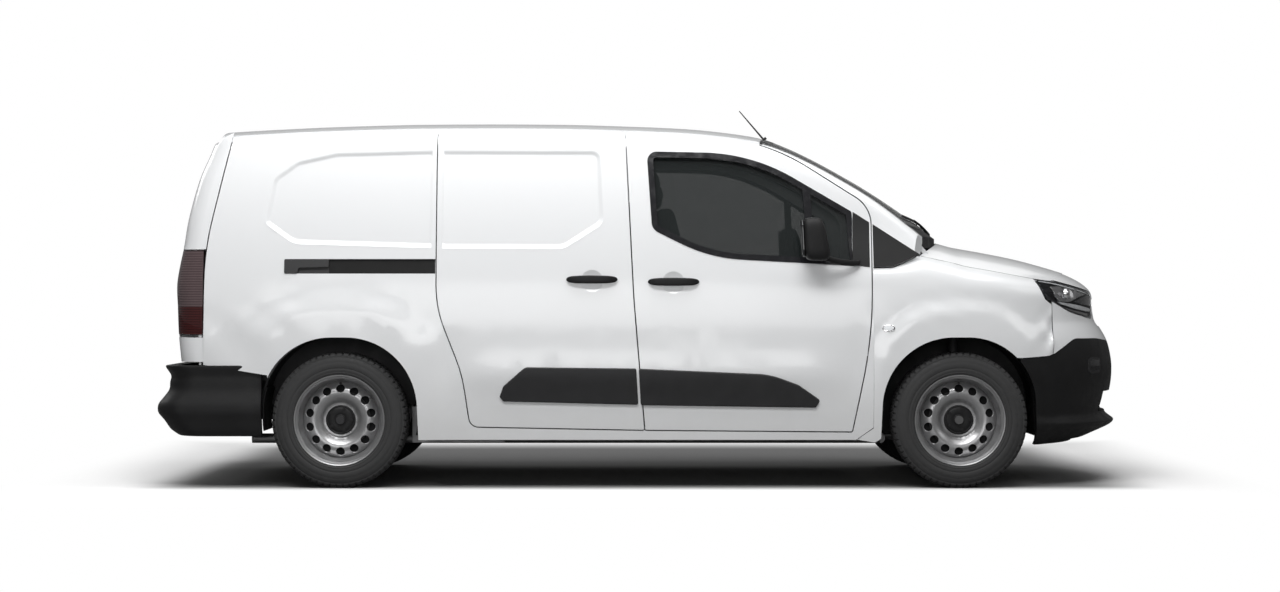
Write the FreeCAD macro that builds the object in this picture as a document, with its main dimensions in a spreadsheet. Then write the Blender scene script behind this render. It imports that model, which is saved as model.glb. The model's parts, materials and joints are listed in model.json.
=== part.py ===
import FreeCAD, Part
# Compact panel van with a long wheelbase: its panels, doors, glass, lamps, wheels, axles and cab.
# Millimetres, +X to the nose, +Y to the van's left, +Z up, origin on the ground at mid length.
import math
import os
import Sketcher
from FreeCAD import Placement, Rotation, Vector

doc = FreeCAD.newDocument("panel_van")

# Driving dimensions
SIZES = {
    "nose_end": 2375,
    "tail_end": 2375,
    "wheelbase": 2975,
    "front_overhang": 877,
    "half_width": 908,
    "widest_height": 780,
    "tuck_in": 56,
    "lean_in": 184,
    "rail_height": 1736,
    "roof_crown": 56,
    "screen_crown": 95,
    "rail_round": 62,
    "sill_foot": 232,
    "side_thickness": 60,
    "jamb_thickness": 26,
    "roof_thickness": 30,
    "glass_thickness": 5,
    "screen_thickness": 6,
    "panel_gap": 6,
    "jamb_gap": 8,
    "seat_gap": 0.3,
    "flare_rise": 16,
    "tail_taper": 40,
    "screen_taper": 46,
    "bonnet_crown": 107,
    "bonnet_thickness": 28,
    "nose_shape": 4.2,
    "turn_start": 900,
    "front_skin": 45,
    "rear_door_thickness": 62,
    "rear_bow": 35,
    "rear_corner": 105,
    "rear_split": 180,
    "tyre_radius": 326,
    "tyre_width": 205,
    "rim_radius": 218,
    "track_half": 778,
    "arch_round": 338,
    "arch_half_width": 377,
    "arch_foot_half": 384,
    "arch_top": 724,
    "load_floor": 545,
    "cab_floor": 350,
    "floor_thickness": 30,
    "recess_depth": 9,
    "hub_bore": 20.3,
    "stub_radius": 20,
    "vent_count": 14,
    "vent_radius": 19.5,
    "vent_circle": 152,
    "engine_length": 520,
    "engine_width": 600,
    "engine_height": 550,
    "tank_length": 700,
    "tank_width": 760,
    "subframe_length": 280,
    "subframe_width": 760,
    "axle_tube": 40,
    "pipe_radius": 24,
    "seat_width": 480,
    "seat_height": 640,
    "bulkhead_thickness": 33,
}
sheet = doc.addObject("Spreadsheet::Sheet", "Sizes")
for number, (alias, value) in enumerate(SIZES.items(), 1):
    sheet.set(f"A{number}", alias)
    sheet.set(f"B{number}", str(value))
    sheet.setAlias(f"B{number}", alias)
doc.recompute()


class Values:
    """The sheet's values by name, in millimetres."""

    def __getattr__(self, alias):
        return float(getattr(sheet, alias))


d = Values()
FRONT_AXLE = d.nose_end - d.front_overhang
REAR_AXLE = FRONT_AXLE - d.wheelbase
AXLE_HEIGHT = d.tyre_radius
GAP = d.panel_gap
FAR = 1500.0


def clamp(value, low=0.0, high=1.0):
    return max(low, min(high, value))


def smooth(value):
    value = clamp(value)
    return value * value * (3 - 2 * value)


def along(x, table):
    """A smooth curve through the table's (place, value) pairs, straight beyond its ends."""
    last = len(table) - 1

    def slope(i):
        low, high = max(i - 1, 0), min(i + 1, last)
        return (table[high][1] - table[low][1]) / (table[high][0] - table[low][0])

    if x <= table[0][0]:
        return table[0][1] + slope(0) * (x - table[0][0])
    if x >= table[-1][0]:
        return table[-1][1] + slope(last) * (x - table[-1][0])
    number = 0
    while x > table[number + 1][0]:
        number += 1
    (x0, y0), (x1, y1) = table[number], table[number + 1]
    width = x1 - x0
    s = (x - x0) / width
    return (
        y0 * (2 * s**3 - 3 * s**2 + 1)
        + slope(number) * width * (s**3 - 2 * s**2 + s)
        + y1 * (3 * s**2 - 2 * s**3)
        + slope(number + 1) * width * (s**3 - s**2)
    )


def steps(low, high, count):
    return [low + (high - low) * i / (count - 1) for i in range(count)]


# The van's lines
def roof_line(x):
    """Height of the roof and windscreen at the van's middle."""
    top = d.rail_height + d.roof_crown
    tail = -d.tail_end
    return along(x, [
        (tail + 230, top - 49), (tail + 265, top - 41), (-1785, top - 22), (-1500, top - 10),
        (-1084, top), (-459, top), (-113, top - 9), (169, top - 21), (330, top - 35),
        (503, top - 58), (613, top - 84), (779, top - 155), (962, top - 252), (1145, top - 360),
        (1299, top - 462), (1480, top - 590), (1600, top - 675),
    ])


def roof_drop(x):
    """Fall from the middle of the roof or screen to its edge."""
    if x < 300:
        return d.roof_crown
    low, high = d.roof_crown, d.screen_crown
    return along(x, [(300, low), (700, low + 2), (908, low + 6), (1082, (low + high) / 2 - 7),
                     (1304, high), (1480, high + 20)])


def rail_line(x):
    """Height of the top edge of the body side: roof rail, then windscreen pillar."""
    return roof_line(x) - roof_drop(x)


def nose_line(z):
    """How far forward the nose reaches at a height, at the van's middle."""
    nose = d.nose_end
    return along(z, [
        (195, nose - 234), (218, nose - 159), (245, nose - 93), (279, nose - 19), (302, nose),
        (322, nose - 24), (344, nose - 46), (400, nose - 33), (484, nose - 15), (568, nose - 10),
        (634, nose - 18), (700, nose - 36), (755, nose - 66), (800, nose - 96),
        (866, nose - 108), (932, nose - 116), (965, nose - 140), (998, nose - 187),
        (1033, nose - 262), (1078, nose - 393), (1120, nose - 560), (1200, nose - 860),
        (1300, nose - 960),
    ])


def plain_half_width(z):
    """Half width of the body side at a height, where it is widest along the van."""
    if z < d.widest_height:
        return d.half_width - d.tuck_in * ((d.widest_height - z) / 580) ** 2
    return d.half_width - d.lean_in * ((z - d.widest_height) / 965) ** 1.7


def nose_turn(x, z):
    """1 along the side, falling to 0 at the nose."""
    share = clamp((x - d.turn_start) / (nose_line(min(z, 1120)) - d.turn_start))
    return math.sqrt(1 - share**d.nose_shape)


def flare(x, z):
    """How far a wheel arch flare stands out."""
    rise = 0.0
    for axle, reach, height in ((REAR_AXLE, 525, 622), (FRONT_AXLE, 470, 588)):
        off = (abs(x - axle) / reach) ** 2.6 + (abs(z - AXLE_HEIGHT) / height) ** 2.6
        rise += d.flare_rise * smooth((1.0 - off ** (1 / 2.6)) / 0.13)
    return rise


def swell(x, z):
    """The full lower stretch of the doors, over the rub strip."""
    ends = smooth((x + 1000) / 300) * smooth((1050 - x) / 350)
    return 11 * ends * math.exp(-(((z - 545) / 85) ** 2))


def side(x, z):
    """Half width of the body at a point of its side, without the rounding at the top."""
    width = plain_half_width(z)
    width -= d.tail_taper * clamp((-x - 1000) / 1250) ** 2
    width -= d.screen_taper * smooth((x - 250) / 1150) * smooth((z - 950) / 350)
    return width * nose_turn(x, z) + flare(x, z) + swell(x, z)


# The bonnet
def bonnet_line(x):
    """Height of the bonnet at the van's middle."""
    nose = d.nose_end
    return along(x, [
        (nose - 1075, 1226), (nose - 895, 1187), (nose - 841, 1172), (nose - 701, 1147),
        (nose - 523, 1112), (nose - 393, 1078), (nose - 249, 1034), (nose - 175, 1005),
    ])


def bonnet_edge(x):
    """Half width of the bonnet."""
    nose = d.nose_end
    return along(x, [(nose - 1062, 783), (nose - 905, 778), (nose - 727, 758), (nose - 605, 728),
                     (nose - 505, 692), (nose - 409, 636)])


def bonnet_top(x, y):
    reach = along(x, [(1300, 783), (1470, 778), (1650, 762), (1870, 712), (1966, 700),
                      (2113, 700)])
    return bonnet_line(x) - d.bonnet_crown * (abs(y) / reach) ** 2.2


def bonnet_rear(y):
    """The bonnet's rear edge in plan."""
    return d.nose_end - 905 - 157 * (y / 783) ** 2


def bonnet_front(y):
    """The bonnet's front edge in plan."""
    return d.nose_end - 262 - 147 * (abs(y) / 636) ** 2


# Plain blocks and mirror images
def box(x0, x1, y0, y1, z0, z1):
    return Part.makeBox(x1 - x0, y1 - y0, z1 - z0, Vector(x0, y0, z0))


def flipped(shape):
    """The shape's mirror image on the van's other side."""
    image = shape.mirror(Vector(0, 0, 0), Vector(0, 1, 0))
    if image.Volume < 0:
        image.reverse()
    return image


# Surfaces
def surface(grid):
    sheet_surface = Part.BSplineSurface()
    sheet_surface.interpolate(grid)
    return sheet_surface.toShape()


RAIL_END = 80.0


def side_column(x, top, radius, end, levels, foot, depth):
    """Points up the body side at one station, over the rounding at its top."""
    start = top - radius * math.sin(math.radians(end))
    column = []
    for level in levels:
        z = foot + level * (start - foot)
        column.append((side(x, z) - depth, z))
    for angle in steps(end / 6, end, 6):
        turn = math.radians(angle)
        z = start + radius * math.sin(turn)
        column.append((side(x, z) - depth - radius * (1 - math.cos(turn)), z))
    return column


def rail_edge(x):
    """Half width of the roof where it meets the body side."""
    return side(x, rail_line(x)) - d.rail_round * (1 - math.cos(math.radians(RAIL_END)))


def side_sheet():
    """The right body side's outer surface behind the wing."""
    grid = []
    for x in steps(-d.tail_end + 110, d.nose_end - 890, 36):
        column = side_column(x, rail_line(x), d.rail_round, RAIL_END, steps(0, 1, 26),
                             d.sill_foot - 30, 0)
        grid.append([Vector(x, -y, z) for y, z in column])
    return surface(grid)


def wing_sheet():
    """The right wing's surface: the side's, rounded over to the bonnet's edge."""
    grid = []
    for x in steps(d.nose_end - 1460, d.nose_end - 385, 22):
        edge = bonnet_edge(max(x, d.nose_end - 1062))
        top = bonnet_top(max(x, d.nose_end - 1062), edge)
        radius = clamp((side(x, top) - edge) / 0.75, 20, 200)
        column = side_column(x, top, radius, 75.5, steps(0, 1, 20), d.sill_foot - 60, 0)
        grid.append([Vector(x, -y, z) for y, z in column])
    return surface(grid)


def height_sheet(height, half, x0, x1, count):
    """A surface given as height over the plan."""
    grid = []
    for x in steps(x0, x1, count):
        reach = half(x)
        grid.append([Vector(x, y, height(x, y)) for y in steps(-reach, reach, 15)])
    return surface(grid)


SIDE_SHEET = side_sheet()
WING_SHEET = wing_sheet()


def side_slab(outer, inner, hand=-1, sheet_face=SIDE_SHEET):
    """The body side between two depths below its outer surface."""
    face = sheet_face.copy()
    face.translate(Vector(0, outer, 0))
    slab = face.extrude(Vector(0, inner - outer, 0))
    return slab if hand < 0 else flipped(slab)


def wing_slab(thickness, hand=-1):
    return side_slab(0, thickness, hand, WING_SHEET)


def roof_height(x, y):
    return roof_line(x) - roof_drop(x) * (y / rail_edge(x)) ** 2


ROOF_SHEET = height_sheet(roof_height, lambda x: rail_edge(x) + 30, -2300, 1560, 44)
BONNET_SHEET = height_sheet(bonnet_top, lambda x: bonnet_edge(x) + 40, d.nose_end - 1090,
                            d.nose_end - 180, 20)


def roof_slab(low, high, x0=-2300, x1=1560, sheet_face=ROOF_SHEET):
    """The roof or windscreen between two depths below its outer surface."""
    face = sheet_face.copy()
    face.translate(Vector(0, 0, -low))
    slab = face.extrude(Vector(0, 0, low - high))
    if x0 > -2300 or x1 < 1560:
        slab = slab.common(box(x0, x1, -FAR, FAR, 0, 2400))
    return slab


def bonnet_slab(low, high):
    return roof_slab(low, high, sheet_face=BONNET_SHEET)


def band(plan, levels, outer, inner):
    """A wall between two depths below a surface given by its plan curve at each level."""

    def grid(depth):
        rows = []
        for z in levels:
            line = plan(z)
            row = []
            for i, (x, y) in enumerate(line):
                ax, ay = line[max(i - 1, 0)]
                bx, by = line[min(i + 1, len(line) - 1)]
                length = math.hypot(bx - ax, by - ay)
                row.append(Vector(x - (by - ay) / length * depth,
                                  y + (bx - ax) / length * depth, z))
            rows.append(row)
        return rows

    sheets = []
    for depth in (outer, inner):
        made_sheet = Part.BSplineSurface()
        made_sheet.interpolate(grid(depth))
        sheets.append(made_sheet)
    faces = [s.toShape() for s in sheets]
    a, b = sheets
    u0, u1, v0, v1 = a.bounds()
    for pick, values in (("uIso", (u0, u1)), ("vIso", (v0, v1))):
        for value in values:
            one = getattr(a, pick)(value).toShape()
            two = getattr(b, pick)(value).toShape()
            faces.append(Part.makeRuledSurface(one, two))
    shell = Part.makeShell(faces)
    shell.sewShape()
    solid = Part.makeSolid(shell)
    if solid.Volume < 0:
        solid.reverse()
    return solid


def nose_plan(z):
    """The plan curve round the nose from the right side to the left."""
    reach = nose_line(z) - d.turn_start
    start = math.acos((700 / reach) ** (d.nose_shape / 2)) if reach > 700 else 0.6
    line = []
    for angle in steps(-start, start, 41):
        x = d.turn_start + reach * max(math.cos(angle), 0) ** (2 / d.nose_shape)
        y = side(x, z)
        if abs(angle) < 1e-9:
            y = 0.0
        line.append((x, math.copysign(y, angle)))
    return line


def nose_band(outer, inner, low=200, high=1060):
    return band(nose_plan, steps(low, high, 30), outer, inner)


def tail_line(z):
    """How far back the tail's corners reach at a height."""
    tail = -d.tail_end
    return along(z, [
        (560, tail + 128), (604, tail + 125), (736, tail + 113), (871, tail + 107),
        (973, tail + 102), (1060, tail + 113), (1156, tail + 131), (1293, tail + 150),
        (1486, tail + 196), (1602, tail + 241), (1671, tail + 268), (1702, tail + 295),
        (1745, tail + 345),
    ])


def tail_plan(z):
    """The plan curve round the tail from the left side to the right."""
    back = tail_line(z)
    radius = d.rear_corner
    middle = back + radius
    line = []
    for x in steps(middle + 180, middle + 30, 4):
        line.append((x, side(x, z)))
    width = side(middle, z)
    for angle in steps(0, 85, 8):
        turn = math.radians(angle)
        line.append((middle - radius * math.sin(turn), width - radius * (1 - math.cos(turn))))
    end_x, end_y = line[-1]
    for y in steps(end_y * 0.86, 0, 7):
        line.append((end_x - d.rear_bow * (1 - (y / end_y) ** 2), y))
    return line + [(x, -y) for x, y in reversed(line[:-1])]


def tail_band(outer, inner, low=560, high=1745):
    return band(tail_plan, steps(low, high, 26), outer, inner)


# Outlines: closed polygons of (x, z, radius) points, cut through the van sideways
def corner_lines(points):
    """Edges of a closed polygon in the x-z plane with its corners rounded."""
    count = len(points)
    places = [Vector(p[0], 0, p[1]) for p in points]
    edges, ends = [], []
    for i, here in enumerate(places):
        before, after = places[i - 1], places[(i + 1) % count]
        radius = points[i][2]
        if radius <= 0:
            ends.append((here, here, None))
            continue
        to_before = (before - here).normalize()
        to_after = (after - here).normalize()
        half = to_before.getAngle(to_after) / 2
        reach = radius / math.tan(half)
        middle = (to_before + to_after).normalize()
        bulge = here + middle * (radius / math.sin(half) - radius)
        ends.append((here + to_before * reach, here + to_after * reach, bulge))
    for i, (start, end, bulge) in enumerate(ends):
        if bulge is not None:
            edges.append(Part.Arc(start, bulge, end).toShape())
        following = ends[(i + 1) % count][0]
        if (following - end).Length > 1e-4:
            edges.append(Part.LineSegment(end, following).toShape())
    return edges


def grown(points, amount):
    """The outline moved outwards by amount, with its radii to match."""
    count = len(points)
    area = sum(
        points[i - 1][0] * points[i][1] - points[i][0] * points[i - 1][1] for i in range(count)
    )
    turn = 1 if area > 0 else -1
    moved = []
    for i in range(count):
        ax, az = points[i - 1][:2]
        bx, bz, radius = points[i]
        cx, cz = points[(i + 1) % count][:2]
        l1, l2 = math.hypot(bx - ax, bz - az), math.hypot(cx - bx, cz - bz)
        n1 = ((bz - az) / l1 * turn, -(bx - ax) / l1 * turn)
        n2 = ((cz - bz) / l2 * turn, -(cx - bx) / l2 * turn)
        share = amount / (1 + n1[0] * n2[0] + n1[1] * n2[1])
        convex = ((bx - ax) * (cz - bz) - (bz - az) * (cx - bx)) * turn > 0
        new_radius = radius + amount if convex else radius - amount
        moved.append((bx + (n1[0] + n2[0]) * share, bz + (n1[1] + n2[1]) * share,
                      max(new_radius, 0.5) if radius > 0 else 0))
    return moved


def prism(points, hand=-1, start=0.0, end=FAR):
    """A side outline as a block from start to end on one side of the van, or on both (hand 0)."""
    face = Part.Face(Part.Wire(corner_lines(points)))
    if hand == 0:
        face.translate(Vector(0, -FAR, 0))
        return face.extrude(Vector(0, 2 * FAR, 0))
    face.translate(Vector(0, hand * start, 0))
    return face.extrude(Vector(0, hand * (end - start), 0))


def plan_block(points, low=0.0, high=2200.0):
    """A polygon of (x, y) points extruded upwards."""
    wire = Part.makePolygon([Vector(x, y, low) for x, y in points + points[:1]])
    return Part.Face(wire).extrude(Vector(0, 0, high - low))


def section_block(points, x0, x1):
    """A polygon of (y, z) points extruded along the van."""
    wire = Part.makePolygon([Vector(x0, y, z) for y, z in points + points[:1]])
    return Part.Face(wire).extrude(Vector(x1 - x0, 0, 0))


def tube_y(radius, y0, y1, x, z):
    return Part.makeCylinder(radius, y1 - y0, Vector(x, y0, z), Vector(0, 1, 0))


def both(shape):
    return Part.makeCompound([shape, flipped(shape)])


def joined(first, *others):
    shape = first
    for other in others:
        shape = shape.fuse(other)
    return shape


made = {}


def node(name, shape):
    """A document object holding one sub-part's solids."""
    largest = max(s.Volume for s in shape.Solids)
    solids = [s for s in shape.Solids if s.Volume > 0.02 * largest]
    item = doc.addObject("Part::Feature", name)
    item.Label = name
    item.Shape = solids[0] if len(solids) == 1 else Part.makeCompound(solids)
    made[name] = item
    return item


FRONT_DOOR = [
    (-10, 281, 6), (-62, 903, 2000), (-104, 1718, 15), (556, 1682, 1000), (1074, 1350, 150),
    (1070, 723, 2200), (980, 273, 6),
]
SLIDING_DOOR = [
    (-10 - GAP, 281, 6), (-62 - GAP, 903, 2000), (-104 - GAP, 1718, 15), (-436, 1727, 6000),
    (-1012, 1729, 40), (-1008, 867, 585), (-884, 548, 700), (-848, 297, 45),
]
WINDOW = [
    (-4, 1621, 45), (502, 1611, 890), (982, 1329, 12), (1002, 1066, 8), (298, 1104, 766),
    (22, 1242, 55),
]
HEADLAMP = [
    (1876, 1004, 8), (1966, 1002, 30), (2216, 945, 25), (2236, 855, 60), (2208, 806, 12),
    (2060, 842, 300), (1930, 912, 100),
]
BUMPER_TOP = [
    (1750, 150, 0), (1750, 621, 0), (1802, 621, 0), (1945, 630, 60), (2078, 716, 60),
    (2217, 714, 300), (2500, 668, 0), (2500, 150, 0),
]


HANDLE_FRONT = [(2, 970, 10), (2, 1012, 10), (247, 1010, 10), (247, 968, 10)]
HANDLE_SLIDE = [(-390, 980, 10), (-390, 1022, 10), (-142, 1020, 10), (-142, 979, 10)]
MOULDING_FRONT = [(-32, 400, 8), (-42, 575, 8), (585, 548, 400), (722, 497, 60), (827, 424, 12),
                  (806, 388, 8)]
MOULDING_SLIDE = [(-708, 440, 8), (-690, 490, 10), (-585, 582, 40), (-54, 576, 8), (-44, 402, 8),
                  (-690, 418, 8)]


def arch(axle):
    """The wheel arch opening about an axle."""
    shoulder = d.arch_half_width - 14
    return [
        (axle - d.arch_foot_half, 100, 0), (axle - shoulder, d.arch_top, d.arch_round),
        (axle + shoulder, d.arch_top, d.arch_round), (axle + d.arch_foot_half, 100, 0),
    ]


TAIL_SEAM = [(-2129, 592, 0), (-2123, 1142, 1500), (-1990, 1770, 0)]
WING_SEAM = [(1076 + GAP, 1056, 0), (1176, 1056, 80), (1229, 1078, 60), (1308, 1118, 0)]
SIDE_OUTLINE = TAIL_SEAM + [
    (700, 1900, 0), (1430, 1330, 0), (1380, 1123, 0), (1308, 1123, 0), (1228, 1083, 60),
    (1175, 1061, 80), (1082, 1061, 0), (1082, 1040, 0), (1082, d.sill_foot + 60, 0),
    (1000, d.sill_foot, 0), (-1819, d.sill_foot, 0), (-1819, 543, 0),
]
SAIL_DOOR = [(986, 1330, 0), (1068, 1277, 0), (1066, 1058, 0), (1006, 1066, 0), (980, 1075, 0)]
SAIL_BODY = [(1083, 1268, 0), (1306, 1123, 0), (1228, 1085, 60), (1175, 1063, 80), (1083, 1061, 0)]


REAR_RECESS = [
    (-1035, 1628, 0), (-1500, 1616, 90), (-1690, 1574, 60), (-1806, 1490, 60), (-1840, 1270, 30),
    (-1700, 1170, 120), (-1035, 1150, 0),
]
DOOR_RECESS = [
    (-985, 1628, 0), (-225, 1626, 45), (-207, 1270, 60), (-400, 1146, 90), (-985, 1148, 0),
]
FAR_RECESS = [(-1006, 1628, 20), (-225, 1626, 45), (-207, 1270, 60), (-400, 1146, 90),
              (-1006, 1148, 20)]
SLIDE_SLOT = [(-1741, 1029, 8), (-1741, 1099, 8), (-900, 1099, 0), (-900, 1029, 0)]

DOOR_HINGE_X, DOOR_HINGE_Y = 1050, d.half_width - 10
DOOR_HINGES = (650, 860)
DOOR_CORNER_REACH = 7
DOOR_PIN = 4
BONNET_HINGE_X, BONNET_HINGE_Z = d.nose_end - 1075, 1187
BONNET_PIN = 5
PIN_PLAY = 0.3
SKIN = 16
SLOT_DEPTH = 22
JAMB_DEPTH = d.side_thickness + d.jamb_gap
BODY_DEPTH = JAMB_DEPTH + d.jamb_thickness


def sunk(shape, outline):
    """The panel with a shallow flat recess pressed into it."""
    return shape.cut(side_slab(-60, d.recess_depth).common(prism(outline)))


def handle_bowl(shape, x, z):
    """The panel with the round hollow behind a door handle."""
    radius = 130.0
    return shape.cut(Part.makeSphere(radius, Vector(x, -(side(x, z) + radius - 11), z)))


def door_bracket(z):
    """A front door hinge's fixed half: a leaf from the jamb with its pin."""
    leaf = box(DOOR_HINGE_X - 5, DOOR_HINGE_X + 5, -DOOR_HINGE_Y, 75 - DOOR_HINGE_Y, z, z + 12)
    foot = box(DOOR_HINGE_X - 5, DOOR_HINGE_X + 22, 38 - DOOR_HINGE_Y, 75 - DOOR_HINGE_Y, z, z + 12)
    pin = Part.makeCylinder(DOOR_PIN, 42, Vector(DOOR_HINGE_X, -DOOR_HINGE_Y, z - 15))
    knuckle = Part.makeCylinder(5, 12, Vector(DOOR_HINGE_X, -DOOR_HINGE_Y, z))
    return joined(leaf, foot, knuckle, pin)


def body_side(with_sliding_door):
    """The fixed right side: quarter panel, sill, rail and pillar, with jambs behind the doors."""
    shape = side_slab(0, BODY_DEPTH).common(prism(SIDE_OUTLINE))
    shallow = side_slab(-60, JAMB_DEPTH)
    doors = [FRONT_DOOR, SLIDING_DOOR] if with_sliding_door else [FRONT_DOOR]
    for door in doors:
        shape = shape.cut(shallow.common(prism(grown(door, GAP))))
        shape = shape.cut(prism(grown(door, -24)))
    for axle in (REAR_AXLE, FRONT_AXLE):
        shape = shape.cut(prism(arch(axle)))
    shape = shape.cut(roof_slab(-150, d.roof_thickness + d.seat_gap, x1=560))
    shape = shape.cut(roof_slab(-150, d.screen_thickness + d.seat_gap, x0=540))
    ahead = [(bonnet_rear(y) - GAP, y) for y in steps(-960, 960, 17)] + [(1700, 960), (1700, -960)]
    shape = shape.cut(plan_block(ahead, 1100, 1500))
    shape = sunk(shape, REAR_RECESS)
    if with_sliding_door:
        shape = shape.cut(side_slab(-60, SLOT_DEPTH).common(prism(SLIDE_SLOT)))
    else:
        shape = sunk(shape, FAR_RECESS)
    swing_room = Part.makeCylinder(DOOR_CORNER_REACH, 60, Vector(DOOR_HINGE_X, -DOOR_HINGE_Y, 588))
    shape = shape.cut(swing_room)
    for z in DOOR_HINGES:
        shape = shape.fuse(door_bracket(z))
    shape = shape.cut(box(BONNET_HINGE_X - 10, BONNET_HINGE_X + 48, -713, -640, 1160, 1220))
    return shape.fuse(tube_y(BONNET_PIN, -760, -693, BONNET_HINGE_X, BONNET_HINGE_Z))


def door_panel(outline, shrink):
    """A door: its skin at full outline and the rest a little smaller behind it."""
    skin = side_slab(0, SKIN).common(prism(outline))
    core = side_slab(SKIN - 2, d.side_thickness).common(prism(grown(outline, -shrink)))
    return skin.fuse(core).cut(roof_slab(-150, d.roof_thickness + GAP, x1=640))


def front_door():
    door = door_panel(FRONT_DOOR, SKIN).cut(prism(grown(WINDOW, -14)))
    for z in DOOR_HINGES:
        door = door.cut(box(DOOR_HINGE_X - 16, 1130, -(DOOR_HINGE_Y + 5.5), 75 - DOOR_HINGE_Y,
                            z - 4, z + 16))
        door = door.cut(Part.makeCylinder(DOOR_PIN + PIN_PLAY, 44,
                                          Vector(DOOR_HINGE_X, -DOOR_HINGE_Y, z - 16)))
    return handle_bowl(door, 124, 1000)


def sliding_door():
    """The load door, fixed shut, with the seal that rests on its jamb."""
    door = door_panel(SLIDING_DOOR, 8)
    seal = side_slab(d.side_thickness - 1, JAMB_DEPTH - d.seat_gap)
    seal = seal.common(prism(grown(SLIDING_DOOR, -9))).cut(prism(grown(SLIDING_DOOR, -22)))
    door = door.fuse(seal).cut(roof_slab(-150, d.roof_thickness + 3, x1=560))
    return handle_bowl(sunk(door, DOOR_RECESS), -266, 1008)


def window_frame():
    """The black edge round the door glass, with the bar that parts the fixed front pane."""
    glass_edge = grown(WINDOW, -28)
    ring = side_slab(-2, -d.seat_gap).common(prism(WINDOW))
    edge = side_slab(-2, 21.7).common(prism(grown(WINDOW, -14.3)))
    frame = ring.fuse(edge).cut(prism(glass_edge)).cut(prism(grown(SAIL_DOOR, d.seat_gap)))
    bar = prism([(740, 1560, 0), (775, 1560, 0), (806, 1040, 0), (771, 1040, 0)])
    bar = bar.common(prism(grown(WINDOW, -25))).common(side_slab(-2, 21.7))
    return frame.fuse(bar)


def door_trim():
    """The front door's rub strip and handle."""
    return Part.makeCompound([
        side_slab(-11, -d.seat_gap).common(prism(MOULDING_FRONT)),
        side_slab(-30, -d.seat_gap).common(prism(HANDLE_FRONT))])


def mirror():
    """The door mirror: a plate at the window's corner, an arm and a rounded housing."""
    arm = [(1056, -850), (1056, -893), (960, -960), (905, -1000), (850, -1000), (850, -960),
           (905, -930), (985, -850)]
    arm_block = plan_block(arm, 1072, 1104).cut(side_slab(-2 - d.seat_gap, 60))
    plate = side_slab(-3, -d.seat_gap).common(prism(SAIL_DOOR))
    shell = box(727, 865, -1050, -905, 1088, 1301)
    shell = shell.makeFillet(38, shell.Edges)
    return joined(arm_block, shell, plate)


# Rear doors, their hinges and the lamps beside them
LAMP_LOW, LAMP_HIGH = 738, 1140
HINGE_X = -d.tail_end + 230
HINGE_Y = d.half_width - 50
HINGE_PIN, HINGE_EYE = 6, 11
LAMP_REACH = 152.0
REAR_HINGES = (594, 727)
STRIP_LOW, STRIP_HIGH = 606, 723
PLATE_RECESS = (-20, 510, 760, 880)
REAR_RECESSES = ((-110, 640, 1080, 1560), (-640, -250, 1080, 1560))


def hinge_drum(radius, low, high, hand=-1):
    return Part.makeCylinder(radius, high - low, Vector(HINGE_X, hand * HINGE_Y, low))


def rear_region(side_low, side_high, gap=0.0):
    """The rear doors' outline behind the seam, between two side positions."""
    seam = [(-3000, 604, 0), (-2129 - GAP, 604, 0), (-2123 - GAP, 1142, 1500),
            (-1990 - GAP, 1770, 0), (-3000, 1770, 0)]
    face = Part.Face(Part.Wire(corner_lines(grown(seam, gap))))
    face.translate(Vector(0, side_low, 0))
    return face.extrude(Vector(0, side_high - side_low, 0))


def rear_door(low, high):
    split = GAP / 2
    skin = tail_band(0, SKIN).common(rear_region(low + split, high - split))
    core = tail_band(SKIN - 2, d.rear_door_thickness)
    core = core.common(rear_region(low + 14, high - 14, -8))
    door = skin.fuse(core)
    door = door.cut(roof_slab(-200, d.roof_thickness + GAP, x1=-1800))
    for hand in (-1, 1):
        door = door.cut(hinge_drum(LAMP_REACH + 5, 400, LAMP_HIGH + GAP, hand))
    pressed = tail_band(-60, d.recess_depth)
    for y0, y1, z0, z1 in REAR_RECESSES + (PLATE_RECESS,):
        if low < y0 and y1 < high:
            outline = [(y0, z0, 40), (y0, z1, 40), (y1, z1, 40), (y1, z0, 40)]
            door = door.cut(pressed.common(rear_prism(outline)))
    hand = -1 if high < 0 else 1
    for z in REAR_HINGES:
        y = hand * HINGE_Y
        arm = plan_block([(HINGE_X - HINGE_EYE, y), (HINGE_X + HINGE_EYE, y),
                          (HINGE_X + HINGE_EYE, y - hand * 58), (HINGE_X - 78, y - hand * 185),
                          (HINGE_X - 104, y - hand * 170), (HINGE_X - HINGE_EYE, y - hand * 62)],
                         z, z + 7)
        arm = arm.fuse(Part.makeCylinder(HINGE_EYE, 7, Vector(HINGE_X, y, z)))
        door = door.fuse(arm).cut(Part.makeCylinder(HINGE_PIN + PIN_PLAY, 40,
                                                    Vector(HINGE_X, y, z - 10)))
    return door


def rear_prism(points):
    """An outline of (y, z, radius) points as a block through the van's tail."""
    face = Part.Face(Part.Wire(corner_lines(points)))
    face.rotate(Vector(0, 0, 0), Vector(0, 0, 1), 90)
    face.translate(Vector(-2600, 0, 0))
    return face.extrude(Vector(800, 0, 0))


def rear_lamp():
    tail = tail_band(0, 60)
    zone = box(-2400, -2132, -1200, 0, LAMP_LOW, LAMP_HIGH)
    return tail.common(zone).common(hinge_drum(LAMP_REACH, 0, 2000))


def rear_corner():
    """The white strip under a rear lamp, with the rear door's hinge pin."""
    zone = box(-2400, -2129.3, -1200, 0, STRIP_LOW, STRIP_HIGH)
    strip = tail_band(0, 60).common(zone).common(hinge_drum(LAMP_REACH, 0, 2000))
    pin_foot = REAR_HINGES[0] - 2
    pin = hinge_drum(HINGE_PIN, pin_foot, LAMP_LOW - d.seat_gap)
    return strip.fuse(pin)


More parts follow.
